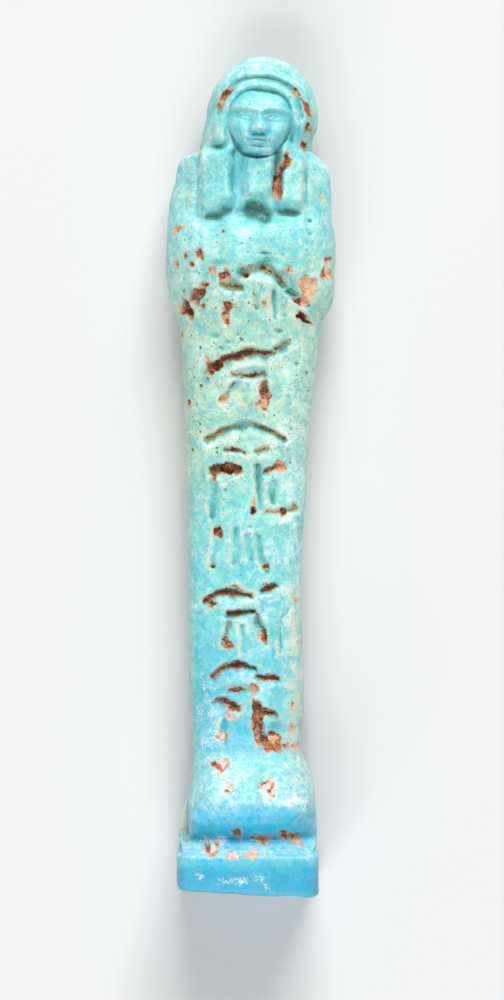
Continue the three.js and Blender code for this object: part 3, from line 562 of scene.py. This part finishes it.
# The back of every row, from its left edge under the flank and the pillar to its right edge.
half_all, middle_all = mix(base_half, fig_half, joined), mix(BASE_OFFSET, fig_middle, joined)
turn = np.linspace(0, np.pi / 2, FLANK_COLUMNS + 1)[1:][None, :]
pillar_half = np.minimum(PILLAR_WIDTH / 2, 0.55 * half_all)
pillar_foot = np.minimum(pillar_half + PILLAR_DRAFT, 0.6 * half_all)
flank = pillar_foot + (half_all - pillar_foot) * np.cos(turn)
under = pillar_foot * np.linspace(1, -1, PILLAR_COLUMNS + 1)[1:][None, :]
offset = np.concatenate([-flank, -under[:, :-1], flank[:, ::-1]], axis=1)
share = offset / np.maximum(half_all, 1e-6)
base_under = mix(base_widest, 0, superellipse(share * base_half, base_half, BASE_POWER))
fig_under = mix(fig_widest, fig_back, superellipse(share * fig_half, fig_half, BACK_POWER))
body_under = mix(base_under, fig_under, joined)
beside_pillar = ease(np.abs(offset), pillar_half - PILLAR_ROUND, pillar_foot)
above_pillar = ease(u, PILLAR_TOP - 0.012, PILLAR_TOP + 0.012)
back_x = middle_all + offset
back_z = body_under * np.maximum(beside_pillar, above_pillar)

# Both halves as one closed skin, uneven as hand work is, with the chips broken out of it.
skin_x = np.concatenate([front_x, back_x], axis=1)
skin_z = np.concatenate([front_z, back_z], axis=1)
slant_fades = 1 - ease(heights, 0, BASE_HEIGHT)
skin_y = heights + UNDERSIDE_SLANT * (BASE_OFFSET + BASE_WIDTH / 2 - skin_x) * slant_fades
skin_x = mix(BASE_OFFSET, skin_x, spread)
skin_z = mix(BASE_DEPTH / 2, skin_z, spread)
skin_y = np.where(spread < 1, UNDERSIDE_SLANT * (BASE_OFFSET + BASE_WIDTH / 2 - skin_x), skin_y)
skin = np.stack([skin_x, skin_y, skin_z], axis=-1)
rows, columns = skin_x.shape


def outward(points):
    """Normals of a skin that is closed round its columns: the cross product of the steps to the
    neighbours along the columns and along the rows."""
    along_columns = np.roll(points, -1, axis=1) - np.roll(points, 1, axis=1)
    along_rows = np.gradient(points, axis=0)
    normal = np.cross(along_rows, along_columns)
    return normal / np.maximum(np.linalg.norm(normal, axis=-1, keepdims=True), 1e-9)


normal = outward(skin)
uneven = 0.1 * grain(skin, 5.5, 1) + 0.11 * grain(skin, 2.3, 2) + 0.055 * grain(skin, 1.0, 3) - 0.02
on_rest = (1 - ease(skin[..., 2], 0.0, 0.3)) * (normal[..., 2] < -0.5)
skin_t = skin[..., 1] - BASE_HEIGHT


def on_front(values):
    """Values of the front's columns, with 0 on the back."""
    everywhere = np.zeros((rows, columns))
    everywhere[:, :FRONT_COLUMNS] = values
    return everywhere


front_part = on_front(ease(np.sin(angle), 0.03, 0.2))
chip_depth, bare, earth, upper = chips_relief(skin[..., 0], skin_t)
in_cuts = on_front(in_cuts * joined)
# The earth's upper side, marked for painted shade, follows the cuts where their earth lies deeper
# than the chips'.
upper = np.where(in_cuts > earth, on_front(painted_shade_in_cuts), upper)
earth = np.maximum(earth, in_cuts) * front_part
chip_depth, bare = chip_depth * front_part, bare * front_part
floor_of_chip = 0.12 * grain(skin, 0.45, 4) * ease(chip_depth, 0.02, 0.15)
skin = skin + normal * (uneven * (1 - 0.8 * on_rest) - chip_depth + floor_of_chip)[..., None]
skin[..., 2] = np.maximum(skin[..., 2], 0)


def blurred(points, times):
    """The skin with each point moved towards the mean of its four neighbours, that many times."""
    for _ in range(times):
        padded = np.concatenate([points[:1], points, points[-1:]])
        points = (padded[:-2] + padded[2:] + np.roll(points, 1, 1) + np.roll(points, -1, 1)) / 4
    return points


# The glaze gathers where the skin lies lower than what surrounds it, in cuts, pockets and dents,
# and as stains round the strokes, and painted shade darkens the same places. It is thin on ridges
# and on the lips of the cuts, which also get a painted highlight on their lower side.
NEAR_BLURS, WIDE_BLURS = 4, 60
normal = outward(skin)
sunk_near = ((blurred(skin, NEAR_BLURS) - skin) * normal).sum(-1)
sunk_wide = ((blurred(skin, WIDE_BLURS) - skin) * normal).sum(-1)
pool_and_shade = np.clip(4.5 * sunk_near + 1.3 * sunk_wide, 0, 1)
ridge = np.clip(-5.0 * sunk_near - 0.6 * sunk_wide, 0, 1)
# The lips are rubbed pale, with a painted highlight on their lower side.
cut_all, lip_wear_and_highlight, burr_all = (on_front(part * facing * joined) for part in (cut, lip, burr))
seam_all = on_front(seam)
x, t = skin[..., 0], skin_t
STAINS_AND_SHADE = [  # x, t, half width, half height, amount
    (-7.5, 58.0, 2.4, 12.0, 0.14), (-4.4, 82.4, 2.0, 0.9, 0.2), (-1.6, 86.5, 1.0, 3.5, -0.45),
    (3.2, 16.0, 1.1, 1.5, 0.6), (-2.8, 19.1, 1.8, 0.6, 0.45), (-3.9, 75.3, 1.5, 0.6, 0.6),
    (1.6, 75.2, 1.5, 0.7, 0.65), (-1.2, 74.2, 0.8, 0.8, 0.6), (4.2, 73.8, 1.2, 0.8, 0.65),
    (-2.6, 73.0, 1.7, 0.5, 0.5), (5.5, 72.4, 0.8, 0.9, 0.6), (3.1, 71.8, 0.5, 1.8, 0.4),
    (0.5, 71.8, 0.4, 1.8, 0.4), (0.2, 61.7, 1.8, 0.5, 0.5), (1.9, 60.2, 0.6, 1.4, 0.5),
    (-1.6, 60.0, 0.8, 0.8, 0.45), (-3.3, 62.8, 1.2, 0.9, 0.4), (-5.6, 61.0, 0.8, 1.5, 0.4),
    (1.0, 48.0, 0.8, 1.3, 0.55), (3.0, 45.2, 1.0, 1.5, 0.3), (-2.6, 29.2, 0.7, 1.1, 0.5),
    (0.9, 29.4, 0.7, 1.1, 0.5), (-1.4, 20.9, 1.7, 0.5, 0.5), (1.9, 24.0, 0.9, 1.1, 0.3),
    (2.2, 75.9, 0.6, 0.5, 0.5), (5.6, 75.8, 0.9, 0.7, 0.35), (-5.6, 73.6, 0.8, 0.8, 0.4),
]
SHALLOW_GROOVES = [(-6.8, 0.6), (7.2, 0.35)]  # x, share of their glaze that has run off


def spots(table):
    """The sum of amount * hump over the rows x, t, half width, half height, amount of a table."""
    return sum(amount * hump(x - px, t - pt, rx, ry) for px, pt, rx, ry, amount in table)


# Extra painted shade in the pockets and dents, on top of their pooled glaze.
in_pockets = [(px, pt - 0.15, 1.1 * rx, 0.85 * ry, 0.6 * deep) for px, pt, rx, ry, deep in POCKETS]
in_dents = [(px, pt - 0.1, 1.2 * rx, 1.1 * ry, 0.6 * deep) for px, pt, rx, ry, deep in DENTS]
# Painted shade in the cuts and over the base's front.
pool_and_shade += 0.35 * cut_all**2 + 0.48 * band(t, -5.6, -1.4, 1.0)
pool_and_shade += spots(in_pockets + STAINS_AND_SHADE + in_dents) * front_part
for gx, amount in SHALLOW_GROOVES:
    pool_and_shade -= amount * hump(x - gx, 0, 0.9, 1) * band(t, 77, 91, 2) * front_part
pool_and_shade *= 1 - 0.85 * band(t, 0.3, 5.5, 1.0) * (1 - 0.6 * hump(x, 0, 3.5, 1))
pool_and_shade *= 1 - 0.4 * ease(t, 91, 94)
pool_and_shade = np.clip(pool_and_shade, 0, 1) * (1 - 0.9 * seam_all)

# The glaze is thinner and greener over the arms and thighs, thicker and bluer towards the feet, in
# the face and beside the beard, and worn off the right edge of the legs and the mould's seam.
BLUER_SPOTS = [  # x, t, half width, half height, amount
    (-5.3, 25.0, 3.0, 5.0, 0.35), (-6.0, 40.0, 2.5, 12.0, 0.2), (-3.5, 21.0, 4.0, 7.0, 0.2),
    (3.3, 16.2, 1.3, 1.9, -0.45), (-1.6, 86.0, 0.9, 4.0, 0.4), (3.3, 85.0, 0.6, 3.0, 0.4),
    (-10.2, 73.0, 0.9, 2.5, 0.45), (9.6, 80.0, 0.8, 4.0, 0.35),
    (FACE_X, FACE_T - 0.5, 4.0, 3.5, 0.35),
]
WORN_SPOTS = [  # in the same order
    (-7.8, 74.6, 1.3, 1.3, 0.5), (-5.0, 91.3, 1.3, 1.0, 0.5), (-5.2, 15.5, 1.5, 2.0, 0.35),
    (7.0, 5.5, 1.2, 2.5, 0.35),
]
RUBBED_LINES = [  # x, lower end, upper end, half width, amount
    (6.9, 81.5, 88.5, 0.2, 0.7), (7.75, 82.5, 88.0, 0.2, 0.55), (-7.7, 82.5, 88.5, 0.3, 0.5),
    (-8.5, 79.5, 86.0, 0.25, 0.35), (8.6, 74.5, 80.5, 0.2, 0.4), (-6.5, 41.0, 56.0, 0.35, 0.3),
]
greener = 0.85 * band(t, 48, 75, 8) + 0.3 * hump(x + 5, t - 52, 4, 14)
bluer = 0.9 * (1 - ease(t, 4, 33)) - 0.5 * band(t, 6, 12, 1.5) - 0.12 * (1 - ease(t, -1.2, 0.4))
bluer += spots(BLUER_SPOTS) + 0.25 * hump(x + 6.9, 0, 0.7, 1) * band(t, 77, 90, 2)
not_under = normal[..., 2] > -0.3
right_edge = ease(x, 3.2, 6.2) * band(t, 9, 34, 5) * not_under
left_edge = (1 - ease(x - left * HALF_WIDTH, 0.2, 1.1)) * band(t, 12, 66, 4) * not_under
toe_rim = band(x, 0.9, 6.3, 0.6) * hump(0, t - 6.4, 1, 0.5) + 0.6 * band(t, -0.4, 1.3, 0.4)
# Rubbed wear on ridges and edges, plus painted highlights: on the lips' lower sides, on the instep
# and the wig's top, which face the light beyond the head, and along the groove by the left lappet,
# which is painted paler against its shade.
wear_and_highlight = 0.3 * right_edge + 0.45 * ridge + 0.4 * lip_wear_and_highlight + 0.7 * toe_rim * front_part
wear_and_highlight += 0.35 * ease(x, 1, 5) * band(t, 34, 60, 8) + 0.3 * band(t, 5.5, 12.5, 1.5)
wear_and_highlight += 0.2 * ease(np.abs(x), 6.8, 8.5) * band(t, 72, 90, 3) + 0.3 * ease(t, 97, 101)
wear_and_highlight += 0.4 * hump(x + 6.9, 0, 0.9, 1) * band(t, 78, 91, 2) + spots(WORN_SPOTS)
wear_and_highlight = np.clip(wear_and_highlight, 0, 1)
wander = 0.2 * grain_flat(x, t, 2.5, 61)
sandy = 0.9 * seam_all + 0.6 * right_edge + 0.4 * left_edge + 0.75 * burr_all
for cx, start, end, width, amount in RUBBED_LINES:
    sandy += amount * hump(x + wander - cx, 0, width, 1) * band(t, start, end, 0.8) * front_part
sandy = np.clip(sandy, 0, 1)

# Small white specks and crusts of salt sit on the base, on the feet and up the left of the legs.
SPECK_CLUSTERS = [  # x, t, half width, half height
    (-6.6, 24.6, 0.5, 0.8), (-6.3, 21.9, 0.7, 0.8), (-5.9, 20.6, 0.5, 0.5), (-6.5, 17.6, 0.6, 0.8),
    (-6.4, 16.4, 0.8, 0.4), (-6.2, 13.5, 0.7, 0.6), (-4.0, 14.7, 0.9, 1.1), (-2.7, 8.3, 1.0, 0.9),
    (-3.9, 11.0, 1.3, 1.0), (2.3, 8.6, 1.3, 1.3), (3.3, 8.0, 0.8, 0.8), (-5.8, 1.3, 1.2, 1.0),
    (-4.3, 1.0, 1.0, 0.8), (-3.6, 1.6, 0.7, 0.5), (-2.2, 0.0, 0.8, 0.4), (-6.4, -2.7, 0.5, 0.6),
    (-3.3, -3.4, 1.2, 0.5), (-1.0, -3.4, 0.9, 0.5), (1.2, -3.0, 0.9, 0.7), (2.0, -4.0, 0.6, 0.4),
    (0.6, 25.6, 0.5, 0.7), (-4.7, 26.2, 0.3, 0.5), (3.0, 19.6, 0.5, 0.4), (-1.8, 38.4, 0.3, 0.8),
]
specks = 0.5 * band(t, -5.2, 3, 1.5) + 0.9 * hump(x + 5, t - 17, 2.6, 7) + hump(x + 2, t - 9, 5, 4)
for cx, ct, rx, ry in SPECK_CLUSTERS:
    specks += 1.2 * hump(x - cx, t - ct, rx, ry)
specks = np.clip(specks, 0, 2)

# All is joined into one closed mesh, with a point at each end of the rows.
points = skin.reshape(-1, 3)
pole_low = np.array([[BASE_OFFSET, UNDERSIDE_SLANT * BASE_WIDTH / 2, BASE_DEPTH / 2]])
pole_high = np.array([[fig_middle[-1, 0], LENGTH, fig_widest[-1, 0]]])
points = np.concatenate([points, pole_low, pole_high])
points[:, 1] += low[1]
i = np.arange(rows - 1)[:, None] * columns
j = np.arange(columns)[None, :]
j_next = (j + 1) % columns
quads = np.stack([i + j, i + columns + j, i + columns + j_next, i + j_next], axis=-1).reshape(-1, 4)
ring = np.arange(columns)
ring_next = (ring + 1) % columns
first, last = rows * columns, rows * columns + 1
top_ring = (rows - 1) * columns
caps_low = np.stack([np.full(columns, first), ring, ring_next], axis=-1)
caps_high = np.stack([np.full(columns, last), top_ring + ring_next, top_ring + ring], axis=-1)

mesh = bpy.data.meshes.new("ushabti")
faces = quads.tolist() + caps_low.tolist() + caps_high.tolist()
mesh.from_pydata((points * MM).tolist(), [], faces)
mesh.polygons.foreach_set("use_smooth", np.ones(len(mesh.polygons), bool))


def paint(name, values, at_ends):
    """Stores a value for each point of the skin, and one for the two end points."""
    stored = mesh.attributes.new(name, "FLOAT", "POINT")
    every = np.append(values.ravel(), [at_ends, at_ends])
    stored.data.foreach_set("value", every.astype(np.float32))


# Pooled glaze in hollows, together with painted shade there.
paint("pool_and_shade", pool_and_shade, 0)
paint("wear_and_highlight", wear_and_highlight, 0)
paint("sandy", sandy, 0)
paint("greener", greener, 0)
paint("bluer", bluer, 0.3)
paint("bare", bare, 0)
paint("earth", earth, 0)
# Where the earth is painted darker as shade.
paint("upper", upper, 0)
paint("specks", specks, 0)
mesh.update()
figurine = bpy.data.objects.new("ushabti", mesh)
bpy.context.scene.collection.objects.link(figurine)

# The glaze is a thin blue-green glass with pores and a fine crackle. It pools darker in hollows,
# where painted shade is laid on too, is rubbed pale on ridges, with painted highlights where faces
# turn to the light, and has lost flakes down to the sandy core, where red earth has stuck, painted
# darker on its upper side as shade.
TURQUOISE = (0.22, 0.69, 0.67, 1)
BLUE = (0.015, 0.44, 0.63, 1)
GREEN = (0.38, 0.67, 0.49, 1)
CREAM = (0.62, 0.66, 0.43, 1)
OLIVE = (0.26, 0.38, 0.2, 1)
PALE = (0.77, 0.88, 0.83, 1)
DEEP = (0.05, 0.46, 0.59, 1)
AZURE = (0.0, 0.5, 0.81, 1)
THICK = (0.13, 0.52, 0.48, 1)
THICK_BLUE = (0.005, 0.4, 0.72, 1)
# Pooled glaze darkened further as painted shade.
POOLED_AND_SHADED = (0.03, 0.14, 0.11, 1)
POOLED_AND_SHADED_BLUE = (0.005, 0.2, 0.42, 1)
CORE = (0.62, 0.3, 0.15, 1)
CORE_PALE = (0.93, 0.66, 0.45, 1)
CORE_WHITE = (0.86, 0.78, 0.75, 1)
OCHRE = (0.62, 0.42, 0.17, 1)
SANDY = (0.68, 0.67, 0.48, 1)
# Earth in painted shade: the darker colour on the upper side of cuts and chips and in deep pits.
EARTH_IN_PAINTED_SHADE = (0.085, 0.028, 0.019, 1)
EARTH_RED = (0.28, 0.08, 0.042, 1)
EARTH_GRAIN = (0.66, 0.31, 0.165, 1)
PORE = (0.06, 0.085, 0.05, 1)
SPECK = (0.9, 0.93, 0.9, 1)

glaze = bpy.data.materials.new("glazed_faience")
glaze.use_nodes = True
tree = glaze.node_tree
shader = tree.nodes["Principled BSDF"]
shader.inputs["IOR"].default_value = 1.5


def node(kind, **settings):
    """A new node of the tree. A setting is a socket's value, or a property of the node."""
    made = tree.nodes.new(kind)
    for key, value in settings.items():
        if key in made.inputs:
            made.inputs[key].default_value = value
        else:
            setattr(made, key, value)
    return made


def link(source, target):
    """Joins an output to an input."""
    tree.links.new(source, target)


def field(name):
    """The values painted on the mesh under that name."""
    return node("ShaderNodeAttribute", attribute_name=name).outputs["Fac"]


def noise(scale, detail=3.0, rough=0.55, warp=0.0):
    """Noise from 0 to 1 with about that many lumps in each millimetre."""
    made = node("ShaderNodeTexNoise", Scale=scale, Detail=detail, Roughness=rough, Distortion=warp)
    link(place.outputs["Vector"], made.inputs["Vector"])
    return made.outputs["Fac"]


def calc(operation, a, b, clamp=False):
    """One step of arithmetic on sockets or numbers, held from 0 to 1 where clamp is set."""
    made = node("ShaderNodeMath", operation=operation, use_clamp=clamp)
    for socket, value in zip(made.inputs, (a, b)):
        if isinstance(value, float):
            socket.default_value = value
        else:
            link(value, socket)
    return made.outputs[0]


def plus(a, b, *more, clamp=False):
    """The sum of two or more sockets or numbers."""
    if more:
        return plus(calc("ADD", a, b), *more, clamp=clamp)
    return calc("ADD", a, b, clamp)


def less(a, b):
    """a less b."""
    return calc("SUBTRACT", a, b)


def times(a, b, clamp=False):
    """a times b."""
    return calc("MULTIPLY", a, b, clamp)


def step(value, start, end):
    """0 below start and 1 above end, as a straight run between them."""
    made = node("ShaderNodeMapRange", clamp=True)
    made.inputs["From Min"].default_value = start
    made.inputs["From Max"].default_value = end
    link(value, made.inputs["Value"])
    return made.outputs["Result"]


def tint(under, over, amount):
    """The colour under, covered by the colour over to that amount."""
    made = node("ShaderNodeMix", data_type="RGBA", clamp_factor=True)
    for socket, colour in ((made.inputs[6], under), (made.inputs[7], over)):
        if isinstance(colour, tuple):
            socket.default_value = colour
        else:
            link(colour, socket)
    link(amount, made.inputs[0])
    return made.outputs[2]


def swing(value, amount):
    """(value - 0.5) * amount, which makes a noise swing about zero."""
    return times(less(value, 0.5), amount)


coordinates = node("ShaderNodeTexCoord")
place = node("ShaderNodeMapping")
place.inputs["Scale"].default_value = (1 / MM, 1 / MM, 1 / MM)
link(coordinates.outputs["Object"], place.inputs["Vector"])
clouds, blotch, mottle = noise(0.14, 2.0), noise(0.42, 3.0, 0.6), noise(1.1, 3.0, 0.6, 0.4)
fine, sand = noise(3.4, 3.0, 0.6), noise(7.5, 2.0)
lump = plus(times(blotch, 0.5), times(mottle, 0.38), times(fine, 0.12))
is_blue, is_green, is_pool_and_shade = field("bluer"), field("greener"), field("pool_and_shade")
is_bare, is_earth, is_specked = field("bare"), field("earth"), field("specks")

# Blue and green lie in broad clouds and in runs along the body, as the glaze flowed in the kiln.
RUN_STRETCH = 0.14
lengthwise = node("ShaderNodeMapping")
lengthwise.inputs["Scale"].default_value = (1 / MM, RUN_STRETCH / MM, 1 / MM)
link(coordinates.outputs["Object"], lengthwise.inputs["Vector"])
runs = node("ShaderNodeTexNoise", Scale=0.9, Detail=3.0, Roughness=0.6)
link(lengthwise.outputs["Vector"], runs.inputs["Vector"])
flowed = plus(swing(clouds, 1.9), swing(blotch, 1.7), swing(runs.outputs["Fac"], 1.3))
flowed = times(flowed, less(1.0, times(is_blue, 0.6)))
green_share = plus(is_green, swing(mottle, 1.2), swing(blotch, -2.0), clamp=True)
green_share = times(green_share, less(1.0, is_blue), clamp=True)
cream = times(step(noise(0.7, 4.0, 0.65), 0.48, 0.68), plus(is_green, 0.08, clamp=True))
smudge = times(step(noise(0.6, 5.0, 0.7, 0.8), 0.53, 0.68), is_green, clamp=True)
colour = tint(TURQUOISE, BLUE, plus(is_blue, flowed, clamp=True))
colour = tint(colour, AZURE, step(plus(is_blue, swing(blotch, 0.6)), 0.72, 1.0))
colour = tint(colour, GREEN, green_share)
colour = tint(colour, CREAM, times(cream, 0.75))
colour = tint(colour, OLIVE, times(smudge, 0.55))

# It is pale where it is thin, on ridges and over the core's lumps, and where highlights are
# painted, and deep between the lumps.
thin_and_highlight = times(field("wear_and_highlight"), step(plus(mottle, swing(fine, 0.35)), 0.22, 0.66))
on_lumps = times(step(lump, 0.5, 0.64), less(0.55, times(is_blue, 0.5)))
thin_and_highlight = plus(thin_and_highlight, on_lumps, clamp=True)
rubbed_off = times(field("sandy"), step(plus(blotch, swing(fine, 0.6)), 0.15, 0.5))
colour = tint(colour, PALE, thin_and_highlight)
colour = tint(colour, SANDY, rubbed_off)
colour = tint(colour, DEEP, times(step(less(1.0, lump), 0.48, 0.66), 0.7))

# In hollows it is fuller in colour, and dark where most of it has gathered and where shade is
# painted.
fuller = step(plus(is_pool_and_shade, swing(mottle, 0.6), swing(fine, 0.4)), 0.08, 0.75)
fuller = times(fuller, step(is_pool_and_shade, 0.02, 0.2))
pooled_and_shaded = times(is_pool_and_shade, step(plus(mottle, swing(fine, 0.8)), 0.05, 0.5), clamp=True)
colour = tint(colour, tint(THICK, THICK_BLUE, is_blue), times(fuller, 0.8))
colour = tint(colour, tint(POOLED_AND_SHADED, POOLED_AND_SHADED_BLUE, is_blue), times(step(pooled_and_shaded, 0.2, 1.0), 0.85))

# Pinholes are clumps of fine dark dots, and round pores of uneven size where gas broke through.
clumps = step(noise(0.55, 3.0), 0.47, 0.62)
dots = times(step(noise(3.1, 2.0, 0.7), 0.58, 0.68), clumps)
cells = node("ShaderNodeTexVoronoi", Scale=0.95, Randomness=1.0)
link(place.outputs["Vector"], cells.inputs["Vector"])
chosen = node("ShaderNodeSeparateColor")
link(cells.outputs["Color"], chosen.inputs["Color"])
pore_size = times(step(chosen.outputs[0], 0.55, 1.0), plus(times(is_green, 0.08), 0.16))
pore = step(less(pore_size, cells.outputs["Distance"]), -0.03, 0.03)
colour = tint(colour, PORE, times(dots, plus(times(is_green, 0.6), 0.45, clamp=True)))
colour = tint(colour, PORE, times(pore, plus(times(is_green, 0.5), 0.3)))

# Salts stand on it as a thin crust and as white specks.
specked = times(is_specked, plus(noise(0.9, 2.0), swing(blotch, 1.0)))
crust = step(plus(specked, swing(fine, 2.4)), 0.75, 1.1)
speck = step(plus(noise(3.5, 2.0, 0.6, 1.2), times(is_specked, 0.05)), 0.63, 0.69)
speck = times(speck, step(specked, 0.4, 0.54))
colour = tint(colour, CORE_WHITE, times(crust, 0.45))
colour = tint(colour, SPECK, times(speck, 0.65))

# Where it has flaked off, the sandy core shows, with ochre rims round the earth in it.
rim = times(step(is_earth, 0.0, 0.35), step(plus(blotch, swing(mottle, 0.8)), 0.36, 0.6))
grainy = plus(swing(fine, 0.8), swing(sand, 0.4))
grainy = times(grainy, plus(times(is_blue, 1.6), 0.9))
core_here = times(step(plus(is_bare, grainy), 0.44, 0.55), step(is_bare, 0.05, 0.25))
core = tint(CORE, CORE_PALE, step(plus(sand, swing(mottle, 0.7)), 0.36, 0.58))
core = tint(core, CORE_WHITE, times(is_specked, step(fine, 0.44, 0.56), clamp=True))
colour = tint(colour, OCHRE, times(rim, 0.65))
colour = tint(colour, core, core_here)

# The earth is darkest high up in a cut or chip and all through a deep small pit, as painted
# shade, and red with light grains below.
earth_here = step(plus(is_earth, grainy, swing(mottle, 0.5)), 0.42, 0.58)
earth_here = times(earth_here, step(is_earth, 0.05, 0.25))
shade = plus(field("upper"), swing(fine, 1.4), swing(mottle, 2.2))
shade = step(less(shade, times(is_bare, 0.15)), 0.15, 0.8)
light_grain = plus(swing(fine, 1.0), swing(sand, 1.2), times(is_bare, 0.14))
light_grain = step(less(light_grain, times(shade, 0.1)), 0.08, 0.22)
earth_colour = tint(EARTH_RED, EARTH_IN_PAINTED_SHADE, shade)
earth_colour = tint(earth_colour, EARTH_GRAIN, light_grain)
colour = tint(colour, earth_colour, earth_here)
link(colour, shader.inputs["Base Color"])

# Core and earth are matt and grainy, and the glaze is duller where it is thin.
matt = calc("MAXIMUM", times(core_here, 0.85), times(earth_here, 0.92))
rough = plus(times(mottle, 0.35), 0.2, times(thin_and_highlight, 0.2))
link(calc("MAXIMUM", rough, matt), shader.inputs["Roughness"])
broken = calc("MAXIMUM", core_here, earth_here)
height = plus(times(fine, 0.5), times(mottle, 1.1))
height = less(less(height, times(pore, 0.9)), times(dots, 0.25))
height = plus(height, times(times(sand, broken), 1.8))
height = less(height, times(core_here, 0.6))
bump = node("ShaderNodeBump", Strength=0.7, Distance=0.16 * MM)
link(height, bump.inputs["Height"])
link(bump.outputs["Normal"], shader.inputs["Normal"])

mesh.materials.append(glaze)
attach(figurine, "root")
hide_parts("figurine")

# The table top is a plain pale matt sheet under the figurine.
FLOOR_HALF = 1.5
PAPER = (0.7, 0.7, 0.69, 1)
floor_mesh = bpy.data.meshes.new("floor")
corners = [(FLOOR_HALF * a, FLOOR_HALF * b, 0) for a, b in ((-1, -1), (1, -1), (1, 1), (-1, 1))]
floor_mesh.from_pydata(corners, [], [(0, 1, 2, 3)])
floor = bpy.data.objects.new("floor", floor_mesh)
bpy.context.scene.collection.objects.link(floor)
paper = bpy.data.materials.new("pale_paper")
paper.use_nodes = True
paper_shader = paper.node_tree.nodes["Principled BSDF"]
paper_shader.inputs["Base Color"].default_value = PAPER
paper_shader.inputs["Roughness"].default_value = 0.9
floor_mesh.materials.append(paper)


# The light is soft and comes from beyond the head, with a weak fill from the feet.
def soft_light(name, place_at, aim, size, power):
    """A square lamp of that size, turned so that it shines at the point aim."""
    lamp = bpy.data.lights.new(name, "AREA")
    lamp.shape = "SQUARE"
    lamp.size = size
    lamp.energy = power
    made = bpy.data.objects.new(name, lamp)
    made.location = place_at
    toward = np.array(aim) - np.array(place_at)
    made.rotation_euler = Vector(toward).to_track_quat("-Z", "Y").to_euler()
    bpy.context.scene.collection.objects.link(made)


soft_light("window", place_at=(0.15, 0.95, 0.67), aim=(0, 0, 0.01), size=0.62, power=16.2)
soft_light("fill", place_at=(-0.12, -0.55, 0.5), aim=(0, -0.02, 0.01), size=0.6, power=4.3)
DAYLIGHT = (0.95, 0.98, 1.0, 1)
world = bpy.data.worlds.new("room")
world.use_nodes = True
sky = world.node_tree.nodes["Background"]
sky.inputs["Color"].default_value = DAYLIGHT
sky.inputs["Strength"].default_value = 0.25
bpy.context.scene.world = world
bpy.context.scene.view_settings.view_transform = "Standard"

# The camera looks straight down from above the figurine's middle.
CAMERA_HEIGHT = 0.4
CAMERA_X, CAMERA_Y = 0.00023, -0.0035
FRAME_LENGTH = 0.13232
SENSOR = 36.0
lens = bpy.data.cameras.new("camera")
lens.sensor_width = SENSOR
lens.lens = SENSOR * CAMERA_HEIGHT / FRAME_LENGTH
camera = bpy.data.objects.new("camera", lens)
camera.location = (CAMERA_X, CAMERA_Y, CAMERA_HEIGHT)
bpy.context.scene.collection.objects.link(camera)
bpy.context.scene.camera = camera
